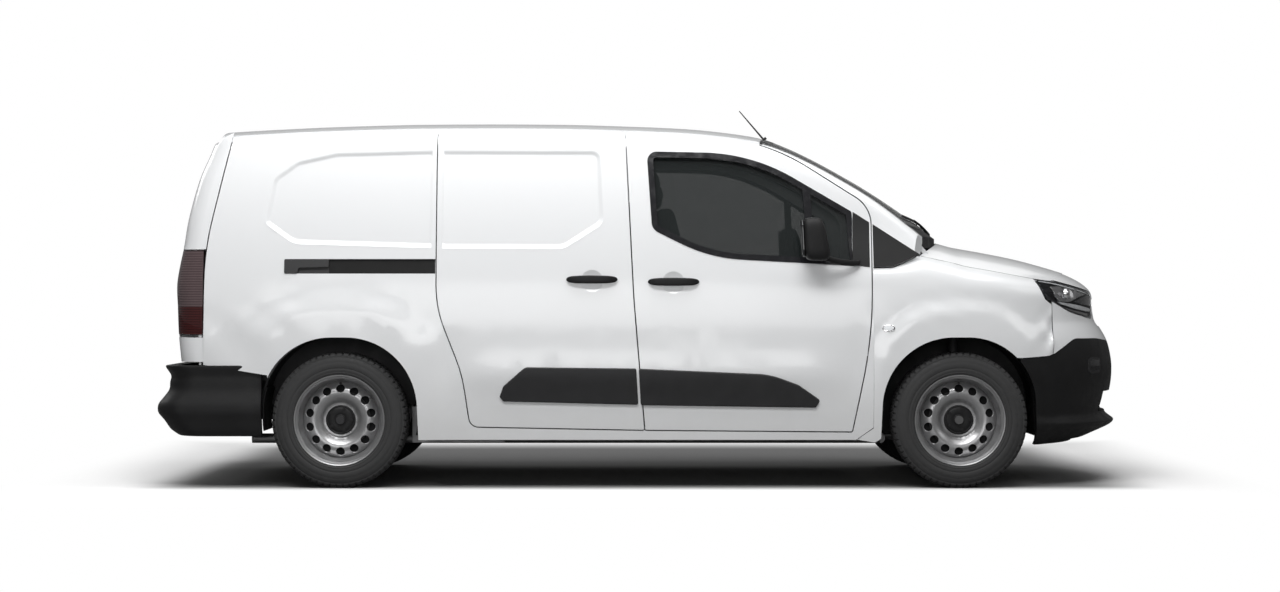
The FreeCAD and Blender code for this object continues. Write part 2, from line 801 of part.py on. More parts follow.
def bumper_plan(z):
    """The plan curve round the rear bumper from the left side to the right."""
    inset = along(z, [(250, 121), (260, 87), (278, 62), (327, 28), (361, 2), (400, 2), (430, 23),
                      (459, 45), (484, 55), (588, 55)])
    radius = 130
    back = 12 + inset - d.tail_end
    half = 898 - 0.3 * inset
    line = [(x, half) for x in steps(-1850, back + radius + 20, 6)]
    for angle in steps(8, 82, 8):
        turn = math.radians(angle)
        line.append((back + radius * (1 - math.sin(turn)), half - radius * (1 - math.cos(turn))))
    end_y = line[-1][1]
    for y in steps(end_y * 0.85, 0, 6):
        line.append((back - 12 * (1 - (y / end_y) ** 2), y))
    return line + [(x, -y) for x, y in reversed(line[:-1])]


BUMPER_LEVELS = [250, 262, 278, 300, 327, 345, 361, 380, 400, 415, 430, 445, 459, 472, 484, 510,
                 550, 588]
LIP_LEVELS = [200, 218, 232, 245, 262, 279, 291, 302, 312, 322, 333, 344, 370, 400, 440, 484, 526,
              568, 600, 634, 667, 700, 730, 755]


def side_pair(name, right_shape):
    """The same sub-part on both sides of the van."""
    node(f"{name}_right", right_shape)
    node(f"{name}_left", flipped(right_shape))


def body_shell():
    node("body_side_right", body_side(True))
    node("body_side_left", flipped(body_side(False)))
    side_pair("door_front", front_door())
    side_pair("glass_front", side_slab(22, 22 + d.glass_thickness).common(
        prism(grown(WINDOW, -14.3))))
    node("sliding_door", sliding_door())
    side_pair("window_frame", window_frame())
    side_pair("door_trim", door_trim())
    side_pair("mirror", mirror())
    node("pillar_covers", both(side_slab(-3, -d.seat_gap).common(prism(SAIL_BODY))))
    node("side_trim_right", Part.makeCompound([
        side_slab(-11, -d.seat_gap).common(prism(MOULDING_SLIDE)),
        side_slab(-30, -d.seat_gap).common(prism(HANDLE_SLIDE))]))
    rail = side_slab(12, SLOT_DEPTH - d.seat_gap).common(prism(
        [(-1740.7, 1029.3, 8), (-1740.7, 1098.7, 8), (-1018, 1098.7, 0), (-1018, 1029.3, 0)]))
    cap = side_slab(-3, 13).common(prism(
        [(-1740.7, 1029.3, 8), (-1740.7, 1098.7, 8), (-1527, 1098.7, 4), (-1527, 1062, 4),
         (-1671, 1058, 8), (-1680, 1029.3, 0)]))
    node("slide_rail", rail.fuse(cap))


def roof_and_screen():
    rail = [(x, rail_edge(x) - 4) for x in steps(-2130, 545, 24) if x > -2070]
    right = [(x, -y) for x, y in rail]
    tail_edge = [(-2100 + 35 * (y / 700) ** 2, y) for y in steps(660, -660, 11)]
    front_edge = [(590 - 45 * (y / 660) ** 2, y) for y in steps(-600, 600, 9)]
    node("roof", roof_slab(0, d.roof_thickness).common(
        plan_block(right + front_edge + rail[::-1] + tail_edge)))
    screen_top = [(598 - 45 * (y / 660) ** 2, y) for y in steps(600, -600, 9)]
    screen_foot = [(bonnet_rear(y) - 62, y) for y in steps(-745, 745, 11)]
    edge = [(x, rail_edge(x) - 5) for x in steps(570, 1260, 12)]
    outline = [(x, -y) for x, y in edge] + screen_foot + edge[::-1] + screen_top
    node("windscreen", roof_slab(0, d.screen_thickness).common(plan_block(outline)))


def bonnet_outline(gap):
    """The bonnet's plan outline, grown by a gap."""
    nose = d.nose_end
    edge = [(x, bonnet_edge(x) + gap) for x in steps(nose - 1040, nose - 420, 8)]
    outline = [(bonnet_rear(y) - gap, y) for y in steps(-783 - gap, 783 + gap, 13)]
    outline += edge
    outline += [(bonnet_front(y) + gap, y) for y in steps(636 + gap, -636 - gap, 13)]
    return outline + [(x, -y) for x, y in edge[::-1]]


def front_end():
    bonnet_room = bonnet_slab(-300, d.bonnet_thickness + GAP).common(
        plan_block(bonnet_outline(GAP)))
    wing_edge = WING_SEAM + [
        (1330, 1250, 0), (1872, 1100, 0), (1872, 1010, 0), (1930 - GAP, 905, 0), (1958, 880, 0),
        (1958, 600, 0), (1700, 600, 0), (1090, 220, 0), (1004, d.sill_foot + 1, 0),
        (1083, d.sill_foot + 56, 0)]
    wing = wing_slab(40).common(prism(wing_edge)).cut(prism(arch(FRONT_AXLE)))
    wing = wing.cut(prism(grown(FRONT_DOOR, GAP))).cut(prism(grown(HEADLAMP, 4)))
    side_pair("wing", wing.cut(prism(grown(BUMPER_TOP, 4))).cut(bonnet_room))

    bonnet = bonnet_slab(0, d.bonnet_thickness).common(plan_block(bonnet_outline(0)))
    arm = prism([(BONNET_HINGE_X - 8, BONNET_HINGE_Z - 10, 0),
                 (BONNET_HINGE_X + 6, BONNET_HINGE_Z + 9, 0), (1372, 1118, 0), (1372, 1090, 0)],
                -1, 698, 708)
    arm = arm.fuse(tube_y(11, -708, -698, BONNET_HINGE_X, BONNET_HINGE_Z))
    arm = arm.cut(tube_y(BONNET_PIN + PIN_PLAY, -709, -697, BONNET_HINGE_X, BONNET_HINGE_Z))
    node("bonnet", joined(bonnet, arm, flipped(arm)))

    bumper = band(nose_plan, LIP_LEVELS, 0, d.front_skin).common(prism(BUMPER_TOP, 0))
    bumper = bumper.cut(box(0, 1790, -2000, 2000, 0, 2000)).cut(prism(arch(FRONT_AXLE), 0))
    node("bumper_front", bumper.cut(box(2100, 2600, -430, 430, 350, 450)))
    panel = nose_band(0, d.front_skin, 560).cut(prism(grown(BUMPER_TOP, d.seat_gap), 0))
    panel = panel.cut(box(0, 1962, -2000, 2000, 0, 2000)).cut(bonnet_room)
    for hand in (-1, 1):
        panel = panel.cut(prism(grown(HEADLAMP, d.seat_gap), hand, 306))
    node("front_panel", panel.cut(box(2000, 2600, -300, 300, 770, 905)))
    lamp = nose_band(0, 40, 560).common(prism(HEADLAMP, -1, 306.3)).cut(bonnet_room)
    node("headlamps", both(lamp))
    grille = nose_band(18, 38, 300)
    edge = d.seat_gap
    upper = grille.common(box(2000, 2600, edge - 300, 300 - edge, 770 + edge, 905 - edge))
    lower = grille.common(box(2100, 2600, edge - 430, 430 - edge, 350 + edge, 450 - edge))
    node("grille", Part.makeCompound([upper, lower]))

    strip = plan_block([(bonnet_rear(y) - 61, y) for y in steps(-740, 740, 11)]
                       + [(bonnet_rear(y) - 8, y) for y in steps(740, -740, 11)])
    cowl = roof_slab(7, 15, x0=1100).common(strip)
    cowl = cowl.fuse(roof_slab(7, 60, x0=1100).common(strip).common(
        box(1000, 1600, -690, 690, 0, 2000)))
    for name in ("body_side_right", "body_side_left"):
        cowl = cowl.cut(made[name].Shape)
    node("cowl", cowl)


def rear_end():
    node("rear_door_left", rear_door(-d.rear_split, 1100))
    node("rear_door_right", rear_door(-1100, -d.rear_split))
    node("tail_lamps", both(rear_lamp()))
    node("rear_corners", both(rear_corner()))
    rear = band(bumper_plan, BUMPER_LEVELS, 0, 40)
    rear = rear.cut(prism(grown(arch(REAR_AXLE), 4), 0))
    above = [(-1700, 539, 0), (-1819, 539, 0), (-2129, 588, 0), (-2129, 700, 0), (-1700, 700, 0)]
    node("bumper_rear", rear.cut(prism(above, 0)))


def floor_block(x0, x1, inset, low, high):
    """A floor as wide as the body less an inset, between two heights."""
    edge = [(x, side(x, low) - inset) for x in steps(x0, x1, 12)]
    return plan_block([(x, -y) for x, y in edge] + edge[::-1], low, high)


TIE_DOWN_X = -1150
TIE_DOWN_LENGTH, TIE_DOWN_WIDTH, TIE_DOWN_RADIUS = 1600, 1000, 5.5


def structure():
    inset = BODY_DEPTH + d.seat_gap
    load, cab, flat = d.load_floor, d.cab_floor, d.floor_thickness
    wall_x = 1084
    floor = floor_block(-2195, -40, inset - 30, load - flat, load)
    tub = floor_block(-1080, wall_x - 2, inset - 30, d.sill_foot + 8, load)
    tub = tub.cut(box(-60, wall_x + 40, -3000, 3000, cab, load + 1))
    tub = tub.cut(box(-1200, wall_x + 40, -720, 720, 0, cab - flat))
    floor = floor.fuse(tub.cut(box(-1200, -90, -720, 720, 0, load - flat)))
    for hand in (-1, 1):
        house = prism(grown(arch(REAR_AXLE), 10), hand, 560, 850)
        room = prism(arch(REAR_AXLE), hand, 570, 950)
        low = box(-3000, 0, -3000, 3000, 0, 390)
        floor = floor.fuse(house.cut(room).cut(low)).cut(room)
        floor = floor.cut(side_slab(-60, inset, hand))
    half = [(side(wall_x + 15, z) - 30, z) for z in steps(cab - flat, 1010, 8)]
    front_wall = section_block([(-y, z) for y, z in half] + half[::-1], wall_x, wall_x + 25)
    for hand in (-1, 1):
        front_wall = front_wall.cut(wing_slab(40 + d.seat_gap, hand))
        y = hand * 430
        floor = floor.fuse(box(-2250, -60, y - 30, y + 30, 400, load - flat + 1))
        floor = floor.fuse(box(-200, wall_x + 10, y - 30, y + 30, 250, cab - flat + 1))
        floor = floor.fuse(box(-90, -60, y - 30, y + 30, 250, load - flat + 1))
        front_wall = front_wall.fuse(box(wall_x + 10, 2180, y - 30, y + 30, 410, 490))
    beam = nose_band(d.front_skin + d.seat_gap, d.front_skin + 50, 400, 500)
    beam = beam.common(box(1900, 2500, -520, 520, 410, 490))
    rear_beam = band(bumper_plan, BUMPER_LEVELS, 40 + d.seat_gap, 75)
    rear_beam = rear_beam.common(box(-2500, -2000, -640, 640, 450, 520))
    front_step = box(wall_x - 10, wall_x + 5, -700, 700, cab - flat, cab)
    floor = joined(floor, front_wall, front_step, beam, rear_beam)
    for x in (TIE_DOWN_X - TIE_DOWN_LENGTH / 2, TIE_DOWN_X + TIE_DOWN_LENGTH / 2):
        for y in (-TIE_DOWN_WIDTH / 2, TIE_DOWN_WIDTH / 2):
            floor = floor.cut(Part.makeCylinder(TIE_DOWN_RADIUS, flat + 2,
                                                Vector(x, y, load - flat - 1)))
    node("floor_pan", floor)

    liner_plan = []
    for x in steps(FRONT_AXLE - 420, FRONT_AXLE + 420, 14):
        liner_inset = 43 + d.seat_gap + 22 * smooth((x - 1560) / 200)
        liner_plan.append((x, min(side(x, z) for z in (260, 400, 550, 700)) - liner_inset))
    liner_room = plan_block(liner_plan + [(liner_plan[-1][0], 465), (liner_plan[0][0], 465)])
    outer = prism(grown(arch(FRONT_AXLE), 8), 1, 465, 1000).common(liner_room)
    liner = outer.cut(prism(arch(FRONT_AXLE), 1, 475, 1100)).cut(box(0, 3000, 0, 2000, 0, 245))
    node("arch_liners", both(liner.cut(box(0, wall_x + 25.3, 0, 2000, 0, 2000))))

    half = [(side(-55, z) - inset - 0.7, z) for z in steps(load + d.seat_gap, 1650, 10)]
    under_roof = [(y, roof_height(-55, y) - d.roof_thickness - 8) for y in steps(620, 0, 7)]
    wall = half + under_roof
    wall = wall + [(-y, z) for y, z in reversed(wall[:-1])]
    node("bulkhead", section_block(wall, -62 - d.bulkhead_thickness, -62))
    return wall_x


def dashboard(wall_x):
    """The dash as a moulded bar between the doors, with a hole for the steering column."""
    back = wall_x - d.seat_gap
    dash = prism([(back, 760, 0), (back, 1035, 0), (1230, 1035, 0), (1235, 1075, 0),
                  (1040, 1075, 60), (930, 1010, 50), (930, 850, 60), (1010, 740, 0)], 0)
    dash = dash.common(box(0, 2000, -770, 770, 0, 2000))
    dash = dash.cut(box(back, 1300, -2000, 2000, 0, 1030))
    tilt = Placement(Vector(820, 380, 960), Rotation(Vector(0, 1, 0), -63))
    hub = Part.makeCylinder(60, 40, Vector(0, 0, -20))
    rim = Part.makeTorus(185, 14)
    spokes = Part.makeBox(372, 40, 16, Vector(-186, -20, -10))
    column = Part.makeCylinder(25, 155, Vector(0, 0, -170))
    wheel_shape = joined(hub, rim, spokes, column)
    wheel_shape.Placement = tilt
    node("steering_wheel", wheel_shape)
    socket = Part.makeCylinder(25.3, 155.3, Vector(0, 0, -170.3))
    socket.Placement = tilt
    node("dashboard", dash.cut(socket))


def seats():
    pads, frames = [], []
    half = d.seat_width / 2
    for y in (-380, 380):
        cushion = box(220, 730, y - half, y + half, d.seat_height, d.seat_height + 120)
        cushion = cushion.makeFillet(40, cushion.Edges)
        lean = Placement(Vector(150, 0, d.seat_height + 125), Rotation(Vector(0, 1, 0), -14))
        back = box(0, 120, y - half + 5, y + half - 5, 0, 600)
        back = back.makeFillet(38, back.Edges)
        head = box(0, 90, y - 130, y + 130, 612, 790)
        head = head.makeFillet(34, head.Edges)
        shell = box(-14.3, -0.3, y - 200, y + 200, -132, 560)
        shell = shell.fuse(box(-14.3, -0.3, y - 60, y + 60, 540, 760))
        for piece in (back, head, shell):
            piece.Placement = lean
        pads += [cushion, back, head]
        base = box(160, 690, y - half + 30, y + half - 30, d.cab_floor + d.seat_gap,
                   d.seat_height - d.seat_gap)
        frames.append(base.fuse(shell))
    node("seat_pads", Part.makeCompound(pads))
    node("seat_bases", Part.makeCompound(frames))


def antenna():
    lean = math.degrees(math.atan2(128, 150))
    mast = Part.makeCone(5, 2.5, 195).fuse(Part.makeCylinder(16, 14, Vector(0, 0, -6)))
    mast.Placement = Placement(Vector(600, 0, 1723), Rotation(Vector(0, 1, 0), -lean))
    node("antenna", mast.cut(roof_slab(-d.seat_gap, 60, 500, 700)))


# Chassis pieces: plain blocks and tubes, bound to the sheet
def bound(kind, name, sizes, base, turn=None):
    """A primitive whose sizes and place are worked out from the sheet."""
    item = doc.addObject(f"Part::{kind}", name)
    for key, value in sizes.items():
        item.setExpression(key, value)
    if turn:
        item.Placement = Placement(Vector(), turn)
    for axis, value in zip("xyz", base):
        item.setExpression(f"Placement.Base.{axis}", value)
    return item


ALONG_Y = Rotation(Vector(1, 0, 0), -90)
ALONG_X = Rotation(Vector(0, 1, 0), 90)
FRONT_X = "(Sizes.nose_end - Sizes.front_overhang)"
REAR_X = "(Sizes.nose_end - Sizes.front_overhang - Sizes.wheelbase)"
UNDER_LOAD = "(Sizes.load_floor - Sizes.floor_thickness - Sizes.seat_gap)"
HUB_END = "(Sizes.track_half + 60)"


def tube(name, radius, length, x, y, z, turn=ALONG_Y):
    return bound("Cylinder", name, {"Radius": radius, "Height": length}, (x, y, z), turn)


def block(name, length, width, height, x, y, z):
    sizes = {"Length": length, "Width": width, "Height": height}
    return bound("Box", name, sizes, (x, y, z))


def welded(name, *pieces):
    """Several primitives as one sub-part."""
    item = doc.addObject("Part::MultiFuse", name)
    item.Shapes = list(pieces)
    return kept(name, item)


def kept(name, item):
    item.Label = name
    made[name] = item
    return item


def chassis():
    kept("front_subframe", block(
        "front_subframe", "Sizes.subframe_length", "Sizes.subframe_width", "163.7",
        f"{FRONT_X} - 118", "-Sizes.subframe_width / 2", "236"))
    kept("engine_block", block(
        "engine_block", "Sizes.engine_length", "Sizes.engine_width", "Sizes.engine_height",
        f"{FRONT_X} - 168", "-Sizes.engine_width / 2", "400"))
    arms = [block("cross_arm", "240", "820", "39.7", f"{FRONT_X} - 98", "-410", "196")]
    for side_name, sign in (("right", "-"), ("left", "")):
        start = "-750" if sign else "400"
        arms.append(block(f"lower_arm_{side_name}", "60", "350", "39.7", f"{FRONT_X} - 30", start,
                          "196"))
        arms.append(tube(f"strut_{side_name}", "24", "488.7", FRONT_X, f"{sign}600", "235",
                         Rotation()))
    welded("front_suspension", *arms)
    beam = tube("axle_beam", "Sizes.axle_tube", "1320", REAR_X, "-660", "Sizes.tyre_radius")
    stub = tube("rear_stub", "Sizes.stub_radius", f"2 * {HUB_END}", REAR_X, f"-{HUB_END}",
                "Sizes.tyre_radius")
    posts = [block(f"axle_post_{number}", "80", "75", f"{UNDER_LOAD} - Sizes.tyre_radius",
                   f"{REAR_X} - 40", y, "Sizes.tyre_radius")
             for number, y in enumerate(("-540", "465"))]
    welded("rear_axle", beam, stub, *posts)
    kept("fuel_tank", block(
        "fuel_tank", "Sizes.tank_length", "Sizes.tank_width", f"{UNDER_LOAD} - 290", "-850",
        "-Sizes.tank_width / 2", "290"))
    radius = "Sizes.pipe_radius"
    pipes = [
        tube("tail_pipe", radius, "3100", "-1950", "-495", "220", ALONG_X),
        tube("cross_pipe", radius, "295", "1150", "-495", "220"),
        tube("flange_pipe", radius, "200", "1150", "-200", "220", ALONG_X),
        tube("up_pipe", radius, "179.7", "1350", "-200", "220", Rotation()),
        block("silencer", "450", "190", "175", "-1150", "-600", "205"),
        block("silencer_hanger", "50", "40", f"{UNDER_LOAD} - 380", "-950", "-580", "380"),
    ]
    welded("exhaust", *pipes)
    for side_name, low in (("right", -1), ("left", 1)):
        y = low * 738
        post = block(f"knuckle_post_{side_name}", "80", "50", "Sizes.tyre_radius - 146",
                     f"{FRONT_X} - 40", str(y - 25), "236")
        start = f"-{HUB_END}" if low < 0 else "738"
        stub = tube(f"front_stub_{side_name}", "Sizes.stub_radius", f"{HUB_END} - 738", FRONT_X,
                    start, "Sizes.tyre_radius")
        pin = tube(f"king_pin_{side_name}", "14", "Sizes.tyre_radius - 106", FRONT_X, str(y),
                   "236", Rotation())
        welded(f"knuckle_{side_name}", post, stub, pin)


# Wheels: one tyre and one steel wheel, turned and pierced, then copied to the four hubs
TYRE_PROFILE = [
    ("rim_radius", -11.1, -85.6), ("rim_radius", 0.6, -89.6), ("rim_radius", 6, -97),
    ("rim_radius", 44, -102.5), ("tyre_radius", -8, -88), ("tyre_radius", 0, -72),
    ("tyre_radius", 0, 72), ("tyre_radius", -8, 88), ("rim_radius", 44, 102.5),
    ("rim_radius", 6, 97), ("rim_radius", 0.6, 89.6), ("rim_radius", -11.1, 85.6),
]
WHEEL_PROFILE = [
    ("rim_radius", -11.4, -86), ("rim_radius", 0, -90), ("rim_radius", 0, -98),
    ("rim_radius", -4, -98), ("rim_radius", -22, -84), ("rim_radius", -28, -40),
    ("rim_radius", -34, -4), ("rim_radius", -50, 8), ("vent_circle", -2, 28),
    ("vent_circle", -32, 36), ("hub_bore", 65.7, 20), ("hub_bore", 59.7, 10), ("hub_bore", 0, 10),
    ("hub_bore", 0, 62), ("hub_bore", 45.7, 62), ("hub_bore", 49.7, 40), ("hub_bore", 65.7, 34),
    ("vent_circle", -32, 56), ("vent_circle", -2, 50), ("rim_radius", -42, 26),
    ("rim_radius", -32, 16), ("rim_radius", -28, 60), ("rim_radius", -22, 84),
    ("rim_radius", -4, 98), ("rim_radius", 0, 98), ("rim_radius", 0, 90),
    ("rim_radius", -11.4, 86),
]


def plane_of(body, role):
    return next(item for item in body.Origin.OriginFeatures if item.Role == role)


def sketched(body, name, role):
    sketch = body.newObject("Sketcher::SketchObject", name)
    sketch.AttachmentSupport = [(plane_of(body, role), "")]
    sketch.MapMode = "FlatFace"
    return sketch


def pin_point(sketch, geometry, point, values):
    """Hold a sketch point at its place, worked out from the sheet."""
    for kind, (alias, offset) in zip(("DistanceX", "DistanceY"), values):
        size = (getattr(d, alias) if alias else 0) + offset
        number = sketch.addConstraint(
            Sketcher.Constraint(kind, -1, 1, geometry, point, size))
        if alias:
            sketch.setExpression(f"Constraints[{number}]", f"Sizes.{alias} + {offset}")


def turned(name, profile):
    """A closed profile of (sheet value, offset, height) points turned about the Y axis."""
    body = doc.addObject("PartDesign::Body", name)
    sketch = sketched(body, f"{name}_profile", "XY_Plane")
    places = [Vector(getattr(d, alias) + offset, y, 0) for alias, offset, y in profile]
    for start, end in zip(places, places[1:] + places[:1]):
        sketch.addGeometry(Part.LineSegment(start, end), False)
    for number, (alias, offset, y) in enumerate(profile):
        sketch.addConstraint(Sketcher.Constraint("Coincident", number - 1 if number else
                                                 len(profile) - 1, 2, number, 1))
        pin_point(sketch, number, 1, ((alias, offset), (None, y)))
    turn = body.newObject("PartDesign::Revolution", f"{name}_turn")
    turn.Profile = sketch
    turn.ReferenceAxis = (sketch, ["V_Axis"])
    turn.Angle = 360
    doc.recompute()
    return body


def pierced(body):
    """The steel wheel with its ring of vent holes."""
    sketch = sketched(body, "vent_circle_sketch", "XZ_Plane")
    sketch.addGeometry(Part.Circle(Vector(d.vent_circle, 0, 0), Vector(0, 0, 1), d.vent_radius),
                       False)
    pin_point(sketch, 0, 3, (("vent_circle", 0), (None, 0)))
    number = sketch.addConstraint(Sketcher.Constraint("Radius", 0, d.vent_radius))
    sketch.setExpression(f"Constraints[{number}]", "Sizes.vent_radius")
    hole = body.newObject("PartDesign::Pocket", "vent_hole")
    hole.Profile = sketch
    hole.Type = "ThroughAll"
    hole.Midplane = True
    ring = body.newObject("PartDesign::PolarPattern", "vent_ring")
    ring.Originals = [hole]
    ring.Axis = (plane_of(body, "Y_Axis"), [""])
    ring.Angle = 360
    ring.setExpression("Occurrences", "Sizes.vent_count")
    body.Tip = ring
    doc.recompute()
    return body


def wheels():
    tyre = turned("tyre_body", TYRE_PROFILE)
    rim = pierced(turned("wheel_body", WHEEL_PROFILE))
    outward = {"right": Rotation(Vector(0, 0, 1), 180), "left": Rotation()}
    for end, axle in (("front", FRONT_AXLE), ("rear", REAR_AXLE)):
        for side_name, turn in outward.items():
            y = d.track_half if side_name == "left" else -d.track_half
            for kind, body in (("tyre", tyre), ("wheel", rim)):
                item = node(f"{kind}_{end}_{side_name}", body.Shape)
                item.Placement = Placement(Vector(axle, y, AXLE_HEIGHT), turn)


body_shell()
roof_and_screen()
front_end()
rear_end()
dashboard(structure())
seats()
antenna()
chassis()
wheels()
doc.recompute()

for item in doc.Objects:
    bad = [state for state in item.State if state in ("Invalid", "Error")]
    if bad:
        raise RuntimeError(f"{item.Label} did not compute: {bad}")
os.makedirs("parts", exist_ok=True)
for name, item in made.items():
    shape = item.Shape
    if shape.isNull() or not shape.isValid():
        raise RuntimeError(f"{name} has no valid shape")
    shape.exportStep(f"parts/{name}.step")
    print(name, len(shape.Solids), "solids,", round(shape.Volume / 1e6, 2), "litres")
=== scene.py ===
# %% [markdown]
# This lesson dresses a small white panel van. Its solids were built in millimetres in another
# program and come in as a fixed frame. We read the frame first, because every piece that we
# make has to sit on it and move with one of its bodies.

# %% The frame
import json
import math

import bmesh
import bpy
import numpy as np
from mathutils import Matrix, Vector
from mathutils.geometry import delaunay_2d_cdt


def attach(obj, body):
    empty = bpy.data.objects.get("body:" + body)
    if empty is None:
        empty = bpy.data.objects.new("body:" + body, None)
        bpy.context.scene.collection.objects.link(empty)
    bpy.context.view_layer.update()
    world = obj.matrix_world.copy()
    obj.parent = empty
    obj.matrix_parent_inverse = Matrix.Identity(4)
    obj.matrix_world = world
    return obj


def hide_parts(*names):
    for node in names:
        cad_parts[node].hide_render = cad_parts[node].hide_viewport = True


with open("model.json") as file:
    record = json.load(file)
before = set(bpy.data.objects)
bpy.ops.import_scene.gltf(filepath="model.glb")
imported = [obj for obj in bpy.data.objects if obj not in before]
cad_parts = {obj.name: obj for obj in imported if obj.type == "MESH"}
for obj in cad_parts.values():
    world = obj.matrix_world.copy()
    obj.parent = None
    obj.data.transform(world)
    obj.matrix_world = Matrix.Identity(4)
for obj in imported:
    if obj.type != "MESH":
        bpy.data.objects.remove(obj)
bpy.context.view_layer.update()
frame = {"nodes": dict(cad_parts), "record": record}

# %% [markdown]
# The photograph is a studio side view on white. Its camera stood level, 13 m from the van's
# middle, with a lens of about 71 mm, and the view's centre is almost the van's own.

# %% The camera
scene = bpy.context.scene


def placed(name, data):
    """A new object in the scene, round the mesh, lamp or camera that it shows."""
    made = bpy.data.objects.new(name, data)
    scene.collection.objects.link(made)
    return made


camera_data = bpy.data.cameras.new("side_camera")
camera_data.lens = 71.2
camera_data.sensor_width = 36
camera_data.clip_end = 200
camera = placed("side_camera", camera_data)
camera.location = (-0.036, -13.0, 0.922)
camera.rotation_euler = (math.radians(90), 0, 0)
scene.camera = camera

# %% [markdown]
# White paint looks flat under even light. The studio has one wide soft panel over the van and a
# stronger one high on the camera's side, so that faces that look up stay bright and faces that
# look down turn grey. A low upright panel gives the flank its bright band of gloss, as in the
# photograph. Weak panels at the nose, the tail and the far side fill in for other views.

# %% The studio lights
scene.view_settings.view_transform = "Standard"
world = bpy.data.worlds.new("white_room")
scene.world = world
world.use_nodes = True
room = world.node_tree
room.nodes.clear()
room_light = room.nodes.new("ShaderNodeBackground")
room_light.inputs["Color"].default_value = (1, 1, 1, 1)
room_light.inputs["Strength"].default_value = 0.15
room_seen = room.nodes.new("ShaderNodeBackground")
room_seen.inputs["Color"].default_value = (1, 1, 1, 1)
room_seen.inputs["Strength"].default_value = 1.0
room_path = room.nodes.new("ShaderNodeLightPath")
room_mix = room.nodes.new("ShaderNodeMixShader")
room_out = room.nodes.new("ShaderNodeOutputWorld")
room.links.new(room_path.outputs["Is Camera Ray"], room_mix.inputs["Fac"])
room.links.new(room_light.outputs[0], room_mix.inputs[1])
room.links.new(room_seen.outputs[0], room_mix.inputs[2])
room.links.new(room_mix.outputs[0], room_out.inputs[0])

SOFT_PANELS = [
    ("over_panel", (0.0, -1.2, 5.4), (0.0, -0.3, 0.6), (8.0, 3.0), 225),
    ("side_panel", (-1.2, -6.2, 7.2), (-0.8, 0.0, 0.9), (7.0, 1.8), 490),
    ("band_panel", (-0.9, -8.5, 1.7), (-0.9, 0.0, 1.2), (5.6, 2.0), 95),
    ("nose_panel", (7.0, -3.0, 4.0), (1.5, 0.0, 0.8), (3.0, 2.5), 35),
    ("tail_panel", (-7.0, 3.0, 4.5), (-1.5, 0.0, 0.8), (3.0, 2.5), 80),
    ("far_panel", (0.0, 7.5, 5.6), (0.0, 0.0, 0.8), (9.0, 3.0), 60),
]
for name, place, target, size, power in SOFT_PANELS:
    lamp = bpy.data.lights.new(name, "AREA")
    lamp.shape = "RECTANGLE"
    lamp.size, lamp.size_y = size
    lamp.energy = power
    holder = placed(name, lamp)
    holder.location = place
    holder.rotation_euler = (Vector(target) - Vector(place)).to_track_quat("-Z", "Y").to_euler()
print(len(SOFT_PANELS), "soft panels light the van")

# %% [markdown]
# Materials are worked out in shader nodes. A small class lets us write their sums as plain
# Python: it wraps a node's socket, and adding or multiplying two wrapped sockets adds the Math
# node that does it. A Finish holds one material and its main shader.


# %% Shader sums
class Wire:
    """A number that a shader works out at each point."""

    def __init__(self, finish, socket):
        self.finish = finish
        self.socket = socket

    def math(self, operation, *others):
        return self.finish.node("ShaderNodeMath", {"operation": operation},
                                dict(enumerate((self, *others))))

    def __add__(self, other):
        return self.math("ADD", other)

    def __sub__(self, other):
        return self.math("SUBTRACT", other)

    def __rsub__(self, other):
        return self.finish.node("ShaderNodeMath", {"operation": "SUBTRACT"}, {0: other, 1: self})

    def __mul__(self, other):
        return self.math("MULTIPLY", other)

    __radd__ = __add__
    __rmul__ = __mul__


